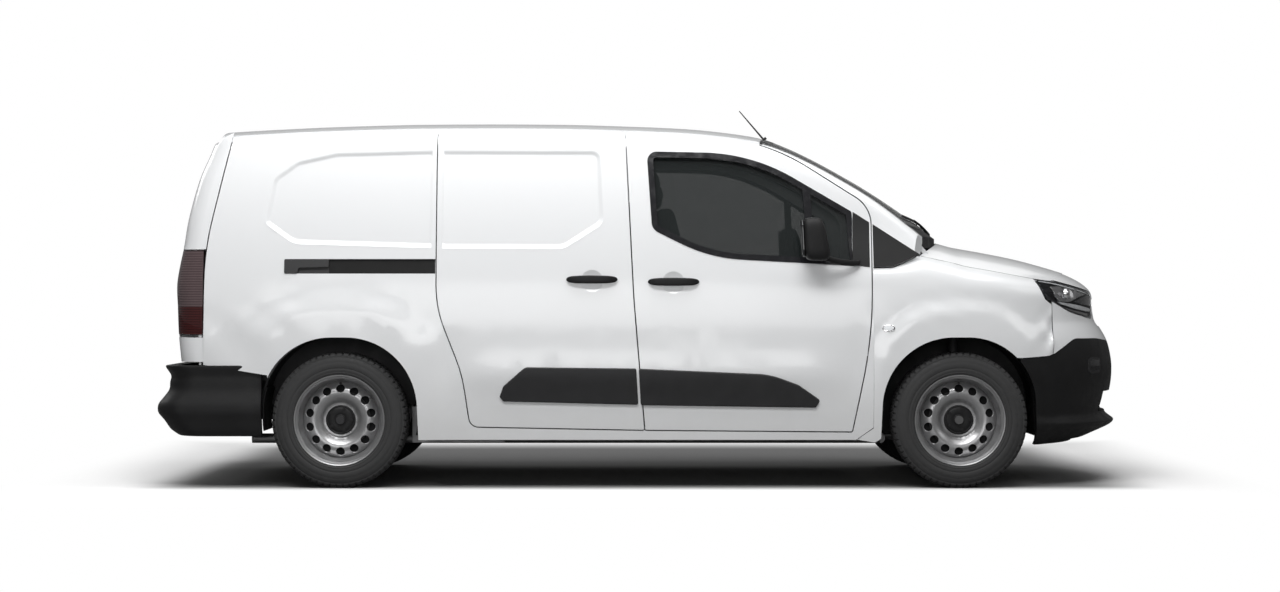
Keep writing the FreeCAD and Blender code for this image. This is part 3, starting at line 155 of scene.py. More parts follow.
class Finish:
    """One material: a Principled shader, and the nodes that feed it."""

    def __init__(self, name, color, roughness, **extra):
        self.material = bpy.data.materials.new(name)
        self.material.use_nodes = True
        self.tree = self.material.node_tree
        self.tree.nodes.clear()
        self.shader = self.tree.nodes.new("ShaderNodeBsdfPrincipled")
        self.out = self.tree.nodes.new("ShaderNodeOutputMaterial")
        self.tree.links.new(self.shader.outputs[0], self.out.inputs[0])
        self.shader.inputs["Base Color"].default_value = (*color, 1)
        self.shader.inputs["Roughness"].default_value = roughness
        for socket, value in extra.items():
            self.shader.inputs[socket.replace("_", " ")].default_value = value
        self.places = self.tree.nodes.new("ShaderNodeTexCoord").outputs["Object"]

    def feed(self, socket, value):
        if isinstance(value, Wire):
            value = value.socket
        if isinstance(value, bpy.types.NodeSocket):
            self.tree.links.new(value, socket)
        else:
            socket.default_value = value

    def node(self, kind, settings=None, inputs=None, output=0):
        made = self.tree.nodes.new(kind)
        for key, value in (settings or {}).items():
            setattr(made, key, value)
        for key, value in (inputs or {}).items():
            self.feed(made.inputs[key], value)
        return Wire(self, made.outputs[output])

    def noise(self, scale, detail=2.0, rough=0.5):
        return self.node("ShaderNodeTexNoise", None,
                         {"Vector": self.places, "Scale": scale, "Detail": detail,
                          "Roughness": rough})

    def step(self, value, low, high, start=0.0, end=1.0):
        """The value's way from low to high, turned into start to end and held there."""
        return self.node("ShaderNodeMapRange", {"interpolation_type": "SMOOTHSTEP"},
                         {"Value": value, "From Min": low, "From Max": high,
                          "To Min": start, "To Max": end})

    def blend(self, share, first, second):
        """A colour between two colours."""
        return self.node("ShaderNodeMix", {"data_type": "RGBA"},
                         {0: share, 6: first, 7: second}, output=2)

    def axis(self, letter):
        split = self.tree.nodes.new("ShaderNodeSeparateXYZ")
        self.tree.links.new(self.places, split.inputs[0])
        return Wire(self, split.outputs[letter])

    def color(self, value):
        self.feed(self.shader.inputs["Base Color"], value)

    def roughness(self, value):
        self.feed(self.shader.inputs["Roughness"], value)

    def relief(self, height, strength, distance):
        bump = self.node("ShaderNodeBump", None,
                         {"Height": height, "Strength": strength, "Distance": distance},
                         output="Normal")
        self.feed(self.shader.inputs["Normal"], bump)


def rgb(red, green, blue):
    return (red, green, blue, 1.0)


# %% [markdown]
# The paint is a solid white under clear coat. Real paint has a faint orange peel in its gloss,
# and road dust dulls the lowest panels a little.

# %% White paint
white_paint = Finish("white_paint", (0.80, 0.81, 0.82), 0.32, Coat_Weight=0.9,
                     Coat_Roughness=0.11)
dust = white_paint.step(white_paint.axis("Z"), 0.62, 0.22) * white_paint.noise(9, 4, 0.6)
white_paint.color(white_paint.blend(dust * 0.35, rgb(0.80, 0.81, 0.82), rgb(0.60, 0.59, 0.57)))
white_paint.roughness(white_paint.step(dust, 0, 0.6, 0.30, 0.50))
white_paint.relief(white_paint.noise(900, 1), 0.035, 0.0004)

# %% [markdown]
# Unpainted bumpers, rub strips and mirrors are black plastic with a moulded leather-like grain.
# A Voronoi pattern a millimetre or two wide gives the grain, and noise varies its sheen.


# %% Plastics
def grained_plastic(name, shade, roughness, size=0.0016, depth=0.5):
    plastic = Finish(name, (shade, shade, shade * 1.05), roughness, Specular_IOR_Level=0.28)
    patches = plastic.noise(14, 3, 0.55)
    plastic.color(plastic.blend(patches, rgb(shade * 0.8, shade * 0.8, shade * 0.85),
                                rgb(shade * 1.25, shade * 1.25, shade * 1.3)))
    plastic.roughness(plastic.step(patches, 0.3, 0.7, roughness - 0.07, roughness + 0.07))
    cells = plastic.node("ShaderNodeTexVoronoi", None,
                         {"Vector": plastic.places, "Scale": 1 / size})
    plastic.relief(cells, depth, 0.0004)
    return plastic


black_plastic = grained_plastic("black_plastic", 0.009, 0.5)
rub_plastic = grained_plastic("rub_plastic", 0.024, 0.48)
cab_plastic = grained_plastic("cab_plastic", 0.03, 0.6, 0.0011)
rail_plastic = grained_plastic("rail_plastic", 0.035, 0.48)
rail_cap = rail_plastic.step(rail_plastic.axis("X"), -1.5262, -1.5272)
rail_plastic.color(rail_plastic.blend(rail_cap, rgb(0.004, 0.004, 0.004),
                                      rgb(0.040, 0.040, 0.041)))
chassis_paint = grained_plastic("chassis_paint", 0.03, 0.55, 0.004, 0.3)
gloss_black = Finish("gloss_black", (0.012, 0.012, 0.014), 0.16, Coat_Weight=0.5)
gloss_black.roughness(gloss_black.step(gloss_black.noise(30), 0.3, 0.7, 0.12, 0.22))

# %% [markdown]
# The tinted glass is a dark transmissive sheet. Thin panes need no bending of light, so the pane
# is a gloss coat over a partly see-through tint, which also reads well when it is baked.

# %% Glass
dark_glass = Finish("dark_glass", (0.02, 0.024, 0.024), 0.04, Alpha=0.58, Coat_Weight=0.6)
dark_glass.roughness(dark_glass.step(dark_glass.noise(3), 0.35, 0.7, 0.02, 0.06))
clear_lens = Finish("clear_lens", (0.03, 0.032, 0.034), 0.03, Alpha=0.14, Coat_Weight=1.0)
clear_lens.roughness(clear_lens.step(clear_lens.noise(40), 0.3, 0.7, 0.02, 0.05))

# %% [markdown]
# Rubber, painted steel and cloth are dull and uneven at a close look. Each gets a fine noise that
# shifts its colour and its sheen a little. The tail lamps' red plastic has fine ribs inside, and
# turns from smoke to red at a set height.

# %% Rubber, steel and cloth
tyre_rubber = Finish("tyre_rubber", (0.035, 0.035, 0.036), 0.62, Specular_IOR_Level=0.3)
tyre_mottle = tyre_rubber.noise(60, 4, 0.6)
tyre_rubber.color(tyre_rubber.blend(tyre_mottle, rgb(0.024, 0.024, 0.025),
                                    rgb(0.050, 0.050, 0.050)))
tyre_rubber.roughness(tyre_rubber.step(tyre_mottle, 0.3, 0.7, 0.52, 0.74))
tyre_rubber.relief(tyre_rubber.noise(700, 2), 0.12, 0.0006)


def painted_steel(name, shade, roughness, metallic):
    steel = Finish(name, (shade, shade, shade), roughness, Metallic=metallic)
    grain = steel.noise(160, 3, 0.6)
    steel.color(steel.blend(grain, rgb(shade * 0.85, shade * 0.85, shade * 0.87),
                            rgb(shade * 1.12, shade * 1.12, shade * 1.12)))
    steel.roughness(steel.step(grain, 0.3, 0.7, roughness - 0.06, roughness + 0.06))
    steel.relief(grain, 0.08, 0.0005)
    return steel


wheel_silver = painted_steel("wheel_silver", 0.42, 0.34, 0.75)
cast_iron = painted_steel("cast_iron", 0.10, 0.62, 0.4)
engine_alloy = painted_steel("engine_alloy", 0.36, 0.5, 0.8)
exhaust_steel = painted_steel("exhaust_steel", 0.30, 0.42, 0.85)
chrome = painted_steel("chrome", 0.75, 0.12, 1.0)
seat_cloth = Finish("seat_cloth", (0.05, 0.05, 0.055), 0.9, Sheen_Weight=0.3)
red_lens = Finish("red_lens", (0.16, 0.012, 0.014), 0.1, Coat_Weight=1.0)
lamp_zone = red_lens.step(red_lens.axis("Z"), 0.869, 0.873)
lamp_ribs = red_lens.node("ShaderNodeTexWave", {"bands_direction": "Z"},
                          {"Vector": red_lens.places, "Scale": 26.0})
lower_red = red_lens.blend(lamp_ribs, rgb(0.020, 0.003, 0.003), rgb(0.060, 0.008, 0.008))
upper_smoke = red_lens.blend(lamp_ribs, rgb(0.060, 0.040, 0.042), rgb(0.115, 0.080, 0.083))
red_lens.color(red_lens.blend(lamp_zone, lower_red, upper_smoke))
red_lens.relief(lamp_ribs, 0.25, 0.001)

# %% [markdown]
# The floor is pale and takes the van's soft shadow from the lamps. A painted shadow also darkens
# the floor's colour, as the camera sees it, in a soft rectangle under the van and behind it. Other
# rays see the floor dark grey. Away from the van it turns into plain white, so that no horizon
# shows.

# %% The floor
floor_finish = Finish("pale_floor", (0.9, 0.9, 0.9), 0.9, Specular_IOR_Level=0.1)
seen = floor_finish.node("ShaderNodeLightPath", output="Is Camera Ray")
across = floor_finish.axis("X").math("ABSOLUTE")
deep = floor_finish.axis("Y")
# Painted shadow: a soft rectangle under and behind the van, where the floor's colour turns from
# 0.97 to 0.24.
painted_shadow_mask = (floor_finish.step(across, 2.55, 2.1) * floor_finish.step(deep, -1.0, -0.7)
           * floor_finish.step(deep, 2.9, 2.2))
floor_color_with_painted_shadow = floor_finish.blend(painted_shadow_mask, rgb(0.97, 0.97, 0.97), rgb(0.24, 0.24, 0.24))
floor_finish.color(floor_finish.blend(seen, rgb(0.20, 0.20, 0.20), floor_color_with_painted_shadow))
glow = floor_finish.node("ShaderNodeEmission", None, {"Color": rgb(1, 1, 1), "Strength": 1.0})
far = floor_finish.step(across, 2.5, 3.1).math(
    "MAXIMUM", floor_finish.step(deep, 2.6, 3.3).math(
        "MAXIMUM", floor_finish.step(deep, -1.1, -2.0)))
path = floor_finish.node("ShaderNodeLightPath", output="Is Camera Ray")
floor_mix = floor_finish.node("ShaderNodeMixShader", None,
                              {0: far * path, 1: floor_finish.shader.outputs[0], 2: glow})
floor_finish.feed(floor_finish.out.inputs[0], floor_mix)
floor_mesh = bpy.data.meshes.new("floor")
floor_mesh.from_pydata([(-60, -60, 0), (60, -60, 0), (60, 60, 0), (-60, 60, 0)], [],
                       [(0, 1, 2, 3)])
floor = placed("floor", floor_mesh)
floor_mesh.materials.append(floor_finish.material)

# %% [markdown]
# Every solid of the frame keeps its shape until a finer piece replaces it, and gets its finish
# here, by the name of its material slot.

# %% Finishes for the solids
FINISHES = {
    "white_paint": white_paint, "black_plastic": black_plastic, "gloss_black": gloss_black,
    "dark_glass": dark_glass, "clear_lens": clear_lens, "red_lens": red_lens,
    "tyre_rubber": tyre_rubber, "silver_steel": wheel_silver, "seat_cloth": seat_cloth,
    "cab_plastic": cab_plastic, "under_steel": chassis_paint, "cast_metal": cast_iron,
    "engine_metal": engine_alloy, "exhaust_steel": exhaust_steel, "rail_grey": rail_plastic,
}
for part in frame["record"]["subparts"]:
    piece = frame["nodes"][part["node"]]
    piece.data.materials.clear()
    piece.data.materials.append(FINISHES[part["material_slot"]].material)
print(len(frame["nodes"]), "solids have a finish")

# %% [markdown]
# The van's outside is one set of smooth curves: a roof line, a side that tucks in at the sill and
# leans in above the waist, a nose and a tail. They are written here as small functions, in
# millimetres, with the same numbers as the solids, so every panel lies on the same surface.


# %% The van's lines
def along(x, table):
    """A smooth curve through the table's (place, value) pairs."""
    x = np.asarray(x, float)
    places, values = np.array(table, float).T
    slope = np.empty_like(values)
    slope[1:-1] = (values[2:] - values[:-2]) / (places[2:] - places[:-2])
    slope[0] = (values[1] - values[0]) / (places[1] - places[0])
    slope[-1] = (values[-1] - values[-2]) / (places[-1] - places[-2])
    i = np.clip(np.searchsorted(places, x) - 1, 0, len(places) - 2)
    width = places[i + 1] - places[i]
    s = (x - places[i]) / width
    inside = (values[i] * (2 * s**3 - 3 * s**2 + 1) + slope[i] * width * (s**3 - 2 * s**2 + s)
              + values[i + 1] * (3 * s**2 - 2 * s**3) + slope[i + 1] * width * (s**3 - s**2))
    before = values[0] + slope[0] * (x - places[0])
    after = values[-1] + slope[-1] * (x - places[-1])
    return np.where(x < places[0], before, np.where(x > places[-1], after, inside))


def smooth(value):
    value = np.clip(value, 0, 1)
    return value * value * (3 - 2 * value)


NOSE = 2375.0
FRONT_AXLE, REAR_AXLE, AXLE_HEIGHT, HUB_OUT = 1498.0, -1477.0, 326.0, 778.0
HALF_WIDTH, WIDEST, RAIL_ROUND = 908.0, 780.0, 62.0
TURN_START, NOSE_SHAPE = 900.0, 4.2
ROOF_LINE = [
    (-2145, 1743), (-2110, 1751), (-1785, 1770), (-1500, 1782), (-1084, 1792), (-459, 1792),
    (-113, 1783), (169, 1771), (330, 1757), (503, 1734), (613, 1708), (779, 1637), (962, 1540),
    (1145, 1432), (1299, 1330), (1480, 1202), (1600, 1117),
]
ROOF_DROP = [(300, 56), (700, 58), (908, 62), (1082, 68.5), (1304, 95), (1480, 115)]
NOSE_LINE = [
    (195, 2141), (218, 2216), (245, 2282), (279, 2356), (302, 2375), (322, 2351), (344, 2329),
    (400, 2342), (484, 2360), (568, 2365), (634, 2357), (700, 2339), (755, 2309), (800, 2279),
    (866, 2267), (932, 2259), (965, 2235), (998, 2188), (1033, 2113), (1078, 1982),
    (1120, 1815), (1200, 1515), (1300, 1415),
]


def roof_line(x):
    return along(x, ROOF_LINE)


def roof_drop(x):
    return np.where(x < 300, 56.0, along(x, ROOF_DROP))


def rail_line(x):
    return roof_line(x) - roof_drop(x)


def nose_line(z):
    return along(z, NOSE_LINE)


def side(x, z):
    """Half width of the body at a point of its side."""
    x, z = np.asarray(x, float), np.asarray(z, float)
    low = HALF_WIDTH - 56 * (np.clip(WIDEST - z, 0, None) / 580) ** 2
    width = low - 184 * (np.clip(z - WIDEST, 0, None) / 965) ** 1.7
    width = width - 40 * np.clip((-x - 1000) / 1250, 0, 1) ** 2
    width = width - 46 * smooth((x - 250) / 1150) * smooth((z - 950) / 350)
    reach = nose_line(np.minimum(z, 1120)) - TURN_START
    share = np.clip((x - TURN_START) / reach, 0, 1)
    width = width * np.sqrt(1 - share**NOSE_SHAPE)
    for axle, length, height in ((REAR_AXLE, 525, 622), (FRONT_AXLE, 470, 588)):
        off = (np.abs(x - axle) / length) ** 2.6 + (np.abs(z - AXLE_HEIGHT) / height) ** 2.6
        width = width + 16 * smooth((1.0 - off ** (1 / 2.6)) / 0.13)
    ends = smooth((x + 1000) / 300) * smooth((1050 - x) / 350)
    return width + 11 * ends * np.exp(-(((z - 545) / 85) ** 2))


def rail_edge(x):
    return side(x, rail_line(x)) - RAIL_ROUND * (1 - math.cos(math.radians(80)))


def bonnet_line(x):
    return along(x, [(1300, 1226), (1480, 1187), (1534, 1172), (1674, 1147), (1852, 1112),
                     (1982, 1078), (2126, 1034), (2200, 1005)])


def bonnet_edge(x):
    return along(x, [(1313, 783), (1470, 778), (1648, 758), (1770, 728), (1870, 692),
                     (1966, 636)])


def bonnet_top(x, y):
    reach = along(x, [(1300, 783), (1470, 778), (1650, 762), (1870, 712), (1966, 700),
                      (2113, 700)])
    return bonnet_line(x) - 107 * (np.abs(y) / reach) ** 2.2


def bonnet_rear(y):
    return NOSE - 905 - 157 * (y / 783) ** 2


print("the roof's crown is", float(roof_line(-700)), "mm up")

# %% [markdown]
# Outlines are closed chains of corners with a rounding each, read in millimetres. The helpers
# here divide a chain, move it outwards, and measure points against it.


# %% Outlines
def outline(corners, pitch=14.0):
    """Points along a closed polygon whose corners are rounded."""
    count = len(corners)
    points = []
    for i, (x, z, radius) in enumerate(corners):
        here = np.array((x, z), float)
        back = np.array(corners[i - 1][:2], float) - here
        ahead = np.array(corners[(i + 1) % count][:2], float) - here
        back_way, ahead_way = back / np.linalg.norm(back), ahead / np.linalg.norm(ahead)
        half = math.acos(np.clip(back_way @ ahead_way, -1, 1)) / 2
        if radius <= 0 or abs(half - math.pi / 2) < 0.002:
            points.append(here)
            continue
        middle = (back_way + ahead_way) / np.linalg.norm(back_way + ahead_way)
        centre = here + middle * radius / math.sin(half)
        start = here + back_way * radius / math.tan(half) - centre
        end = here + ahead_way * radius / math.tan(half) - centre
        turn = math.atan2(start[0] * end[1] - start[1] * end[0], start @ end)
        parts = max(2, math.ceil(abs(turn) * max(radius / pitch, 1.6)))
        for k in range(parts + 1):
            a = turn * k / parts
            spin = np.array(((math.cos(a), -math.sin(a)), (math.sin(a), math.cos(a))))
            points.append(centre + spin @ start)
    return divided(np.array(points), pitch)


def divided(points, pitch, closed=True):
    """The same chain with its long runs divided."""
    ends = np.roll(points, -1, axis=0) if closed else points[1:]
    rows = []
    for a, b in zip(points, ends):
        parts = max(1, math.ceil(np.linalg.norm(b - a) / pitch))
        rows += [a + (b - a) * k / parts for k in range(parts)]
    if not closed:
        rows.append(points[-1])
    return np.array(rows)


def area_of(points):
    x, y = points.T
    return 0.5 * float(np.sum(x * np.roll(y, -1) - np.roll(x, -1) * y))


def grown(points, amount):
    """The chain moved outwards by an amount, each point along its corner's normal."""
    turn = 1 if area_of(points) > 0 else -1
    ahead = np.roll(points, -1, axis=0) - points
    ahead /= np.linalg.norm(ahead, axis=1)[:, None] + 1e-9
    behind = np.roll(ahead, 1, axis=0)
    normal = np.column_stack((ahead[:, 1] + behind[:, 1], -ahead[:, 0] - behind[:, 0])) * turn
    share = 1 + np.sum(ahead * behind, axis=1)
    return points + normal / np.maximum(share, 0.4)[:, None] * amount


def inside(points, chain):
    """Whether each point lies inside a closed chain."""
    x, y = points.T
    result = np.zeros(len(points), bool)
    for (ax, ay), (bx, by) in zip(chain, np.roll(chain, -1, axis=0)):
        if ay == by:
            continue
        crosses = ((ay > y) != (by > y)) & (x < (bx - ax) * (y - ay) / (by - ay) + ax)
        result ^= crosses
    return result


def distance(points, chain, closed=True):
    """Each point's distance to a chain."""
    ends = np.roll(chain, -1, axis=0) if closed else chain[1:]
    best = np.full(len(points), 1e9)
    for a, b in zip(chain, ends):
        run = b - a
        t = np.clip(((points - a) @ run) / max(run @ run, 1e-9), 0, 1)
        best = np.minimum(best, np.linalg.norm(points - a - t[:, None] * run, axis=1))
    return best


# %% [markdown]
# A pressed panel is thin sheet with its edge folded back. One function makes them all. It fills
# an outline with triangles, lays them on a surface, rounds the edge over by a few millimetres,
# runs it back as a flange, and closes the piece with an inner sheet. The shading normals come
# from the surface itself, so large panels stay free of facets.


# %% Panels
def panel(name, place, keep, leave=(), pitch=26.0, fold=2.2, thick=16.0, start=0.0, guides=(),
          finish=None):
    """A closed sheet on the surface place(s, t), inside keep and outside each chain of leave."""
    keep = grown(keep, -fold)
    leave = [grown(chain, fold) for chain in leave]
    low, high = keep.min(0), keep.max(0)
    columns = np.arange(low[0], high[0], pitch)
    rows = np.arange(low[1], high[1], pitch)
    loose = np.array([(x + (pitch / 2 if k % 2 else 0), z)
                      for k, z in enumerate(rows) for x in columns])
    edges_near = [keep] + leave
    for chain in edges_near:
        loose = loose[distance(loose, chain) > pitch * 0.55]
    for guide in guides:
        loose = loose[distance(loose, guide, False) > pitch * 0.4]
    extra = [g[distance(g, chain) > 2.0] for g in guides for chain in [keep]]
    for chain in leave:
        extra = [g[distance(g, chain) > 2.0] for g in extra]
    points = [Vector(p) for chain in edges_near for p in chain]
    links, first = [], 0
    for chain in edges_near:
        count = len(chain)
        links += [(first + k, first + (k + 1) % count) for k in range(count)]
        first += count
    free = np.vstack([loose, *extra]) if extra else loose
    free = free[inside(free, keep)]
    for chain in leave:
        free = free[~inside(free, chain)]
    points += [Vector(p) for p in free]
    flat, _, faces, *_ = delaunay_2d_cdt(points, links, [], 0, 0.01)
    flat = np.array([tuple(p) for p in flat])
    faces = np.array([tuple(f) for f in faces])
    middles = flat[faces].mean(axis=1)
    kept = inside(middles, keep)
    for chain in leave:
        kept &= ~inside(middles, chain)
    faces = faces[kept]
    used, back = np.unique(faces, return_inverse=True)
    flat, faces = flat[used], back.reshape(faces.shape)
    a, b, c = (flat[faces[:, k]] for k in range(3))
    cross = (b - a)[:, 0] * (c - a)[:, 1] - (b - a)[:, 1] * (c - a)[:, 0]
    faces[cross < 0] = faces[cross < 0][:, ::-1]
    return closed_sheet(name, place, flat, faces, fold, thick, start, finish)


def border_loops(faces):
    """Closed chains of vertex numbers round a set of triangles, the sheet on their left."""
    ways = {}
    edges = {(int(f[k]), int(f[(k + 1) % 3])) for f in faces for k in range(3)}
    for a, b in edges:
        if (b, a) not in edges:
            ways.setdefault(a, []).append(b)
    loops = []
    while ways:
        first = next(iter(ways))
        loop, here = [], first
        while here in ways:
            loop.append(here)
            following = ways[here].pop()
            if not ways[here]:
                del ways[here]
            here = following
        loops.append(np.array(loop))
    return loops


def closed_sheet(name, place, flat, faces, fold, thick, start, finish):
    """Turns flat triangles into the closed panel on its surface."""

    def spot(points):
        return np.column_stack(place(points[:, 0], points[:, 1]))

    def normals(points):
        nudge = 0.6
        u = (spot(points + (nudge, 0)) - spot(points - (nudge, 0)))
        v = (spot(points + (0, nudge)) - spot(points - (0, nudge)))
        n = np.cross(u, v)
        return n / (np.linalg.norm(n, axis=1)[:, None] + 1e-12)

    up = normals(flat)
    top = spot(flat)
    count = len(flat)
    vertices = [top - up * start]
    polygons = [tuple(f) for f in faces]
    loop_normals = [up[f] for f in faces]
    loops = border_loops(faces)
    below = np.arange(count) + count
    total = 2 * count
    vertices.append(top - up * thick)
    for loop in loops:
        line = flat[loop]
        ahead = np.roll(line, -1, axis=0) - line
        ahead /= np.linalg.norm(ahead, axis=1)[:, None] + 1e-9
        behind = np.roll(ahead, 1, axis=0)
        out = np.column_stack((ahead[:, 1] + behind[:, 1], -ahead[:, 0] - behind[:, 0]))
        out /= np.maximum(1 + np.sum(ahead * behind, axis=1), 0.5)[:, None]
        across = spot(line + out) - spot(line - out)
        across /= np.linalg.norm(across, axis=1)[:, None] + 1e-12
        base_up = up[loop]
        rows, row_normals = [loop], [base_up]
        for angle in (30, 60, 90):
            turn = math.radians(angle)
            place_row = spot(line) + across * fold * math.sin(turn)
            place_row = place_row - base_up * (start + fold * (1 - math.cos(turn)))
            vertices.append(place_row)
            rows.append(np.arange(len(loop)) + total)
            row_normals.append(base_up * math.cos(turn) + across * math.sin(turn))
            total += len(loop)
        vertices.append(spot(line) + across * fold - base_up * thick)
        rows.append(np.arange(len(loop)) + total)
        row_normals.append(across)
        total += len(loop)
        for (r0, n0), (r1, n1) in zip(zip(rows, row_normals), zip(rows[1:], row_normals[1:])):
            for k in range(len(loop)):
                m = (k + 1) % len(loop)
                polygons.append((r0[k], r1[k], r1[m], r0[m]))
                loop_normals.append(np.array((n0[k], n1[k], n1[m], n0[m])))
        below[loop] = rows[-1]
    for f in faces:
        turned_face = tuple(int(below[v]) for v in f[::-1])
        polygons.append(turned_face)
        loop_normals.append(-up[f[::-1]])
    mesh = bpy.data.meshes.new(name)
    places_all = np.vstack(vertices) / 1000.0
    lowest = np.unique(np.concatenate([np.array(p) for p in polygons]))
    remap = np.full(len(places_all), -1)
    remap[lowest] = np.arange(len(lowest))
    mesh.from_pydata([tuple(v) for v in places_all[lowest]], [],
                     [tuple(int(remap[v]) for v in p) for p in polygons])
    mesh.polygons.foreach_set("use_smooth", [True] * len(polygons))
    mesh.normals_split_custom_set([tuple(n) for rows in loop_normals for n in rows])
    mesh.materials.append(finish.material)
    return placed(name, mesh)


# %% [markdown]
# The body side is measured by its place along the van and a height that follows the sheet round
# the rail, so that an outline read from the photograph can run over the rounding.


# %% The side surface
RAIL_TURN = math.radians(80)


def side_top(x, wing=False):
    """Where the rounding at the top starts, and its radius."""
    if not wing:
        return rail_line(x) - RAIL_ROUND * math.sin(RAIL_TURN), np.full(np.shape(x), RAIL_ROUND)
    edge = bonnet_edge(np.maximum(x, 1313))
    top = bonnet_top(np.maximum(x, 1313), edge)
    radius = np.clip((side(x, top) - edge) / 0.75, 20, 200)
    return top - radius * math.sin(math.radians(75.5)), radius


def along_side(points, wing=False):
    """Turns (x, z) points into (x, way up the sheet) points."""
    x, z = np.asarray(points, float).T
    begin, radius = side_top(x, wing)
    share = np.clip((z - begin) / radius, -1, 0.9999)
    return np.column_stack((x, np.where(z > begin, begin + radius * np.arcsin(share), z)))


def side_surface(hand, presses=(), wing=False):
    def place(x, way):
        x, way = np.asarray(x, float), np.asarray(way, float)
        begin, radius = side_top(x, wing)
        turn = np.clip((way - begin) / radius, 0, math.radians(86))
        z = np.where(way > begin, begin + radius * np.sin(turn), way)
        y = side(x, z) - radius * (1 - np.cos(turn))
        for press in presses:
            y = y - press.sink(x, z)
        return x, hand * y, z

    return place

# %% [markdown]
# Wheels, tyres and hub caps are round about their axle, so we make them as on a lathe: a closed
# profile of (radius, way out) points is swept round the axle. Each wheel is made once, at the
# origin with its face towards -Y, and copied to the four hubs. The left copies are turned half
# round, not mirrored, so their faces still point outwards.


# %% Turning and copying
def mesh_piece(name, points, faces, finish, sharp=34.0):
    """A closed mesh from points in millimetres, with its faces turned outwards."""
    mesh = bpy.data.meshes.new(name)
    mesh.from_pydata([tuple(p) for p in np.asarray(points, float) / 1000.0], [],
                     [tuple(int(v) for v in face) for face in faces])
    made = bmesh.new()
    made.from_mesh(mesh)
    bmesh.ops.remove_doubles(made, verts=made.verts, dist=1e-6)
    bmesh.ops.recalc_face_normals(made, faces=made.faces)
    made.to_mesh(mesh)
    made.free()
    mesh.materials.append(finish.material)
    mesh.polygons.foreach_set("use_smooth", [True] * len(mesh.polygons))
    mesh.set_sharp_from_angle(angle=math.radians(sharp))
    return placed(name, mesh)


def grid_faces(rows, columns, around=True, closed=True):
    """Quads between rows of points; around joins the last row to the first."""
    faces = []
    for i in range(rows if around else rows - 1):
        following = (i + 1) % rows
        for k in range(columns if closed else columns - 1):
            m = (k + 1) % columns
            faces.append((i * columns + k, i * columns + m,
                          following * columns + m, following * columns + k))
    return faces


def turned(name, profile, finish, count=96, closed=True):
    """A profile of (radius, way out) points swept round the Y axis, face to -Y."""
    rows = []
    for k in range(count):
        a = 2 * math.pi * k / count
        rows += [(r * math.cos(a), -out, r * math.sin(a)) for r, out in profile]
    return mesh_piece(name, rows, grid_faces(count, len(profile), True, closed), finish)


def copied(piece, name, matrix):
    """The same mesh at another place, in metres."""
    mesh = piece.data.copy()
    mesh.transform(matrix)
    return placed(name, mesh)


def joined(name, pieces):
    """Several pieces as one mesh, keeping each one's material."""
    made = bmesh.new()
    mesh = bpy.data.meshes.new(name)
    for piece in pieces:
        slots = []
        for material in piece.data.materials:
            if material.name not in [m.name for m in mesh.materials]:
                mesh.materials.append(material)
            slots.append([m.name for m in mesh.materials].index(material.name))
        first = len(made.faces)
        made.from_mesh(piece.data)
        made.faces.ensure_lookup_table()
        for face in made.faces[first:]:
            face.material_index = slots[face.material_index]
    made.to_mesh(mesh)
    made.free()
    for piece in pieces:
        bpy.data.objects.remove(piece)
    return placed(name, mesh)


def mirrored(piece, name):
    """The piece's twin on the van's other side, its faces turned out again."""
    mesh = piece.data.copy()
    mesh.transform(Matrix.Scale(-1, 4, (0, 1, 0)))
    mesh.flip_normals()
    return placed(name, mesh)


# %% [markdown]
# Small things that repeat are one Geometry Nodes tree: a number of points and a copy of an item
# on each. How the copies are arranged is a small function of its own. The tread and the hub
# cap's bolt covers turn each copy by its share of the circle. The result becomes a plain mesh,
# because an export drops instances.


# %% A ring of copies
def input_of(tree, name):
    return next(i.identifier for i in tree.interface.items_tree
                if i.item_type == "SOCKET" and i.in_out == "INPUT" and i.name == name)


def new_tree(name, inputs):
    tree = bpy.data.node_groups.new(name, "GeometryNodeTree")
    tree.interface.new_socket("Geometry", in_out="OUTPUT", socket_type="NodeSocketGeometry")
    for label, kind in inputs:
        tree.interface.new_socket(label, in_out="INPUT", socket_type=kind)
    return tree


def copying_tree(name, arrange, more=()):
    """A tree that puts a copy of an item on each of a number of points, and coats them."""
    tree = new_tree(name, [("Item", "NodeSocketObject"), ("Count", "NodeSocketInt"), *more,
                           ("Finish", "NodeSocketMaterial")])
    add, link = tree.nodes.new, tree.links.new
    start, end = add("NodeGroupInput"), add("NodeGroupOutput")
    points, index = add("GeometryNodePoints"), add("GeometryNodeInputIndex")
    info, copies = add("GeometryNodeObjectInfo"), add("GeometryNodeInstanceOnPoints")
    real, coat = add("GeometryNodeRealizeInstances"), add("GeometryNodeSetMaterial")
    link(start.outputs["Count"], points.inputs["Count"])
    link(start.outputs["Item"], info.inputs["Object"])
    link(info.outputs["Geometry"], copies.inputs["Instance"])
    arrange(add, link, start, index, points, copies)
    link(copies.outputs[0], real.inputs[0])
    link(real.outputs[0], coat.inputs["Geometry"])
    link(start.outputs["Finish"], coat.inputs["Material"])
    link(coat.outputs[0], end.inputs[0])
    return tree


def round_the_axle(add, link, start, index, points, copies):
    """Turns each copy by its share of the whole circle."""
    share, turn = add("ShaderNodeMath"), add("ShaderNodeMath")
    spin = add("ShaderNodeCombineXYZ")
    share.operation, turn.operation = "DIVIDE", "MULTIPLY"
    turn.inputs[1].default_value = -2 * math.pi
    link(index.outputs[0], share.inputs[0])
    link(start.outputs["Count"], share.inputs[1])
    link(share.outputs[0], turn.inputs[0])
    link(turn.outputs[0], spin.inputs["Y"])
    link(points.outputs[0], copies.inputs["Points"])
    link(spin.outputs[0], copies.inputs["Rotation"])


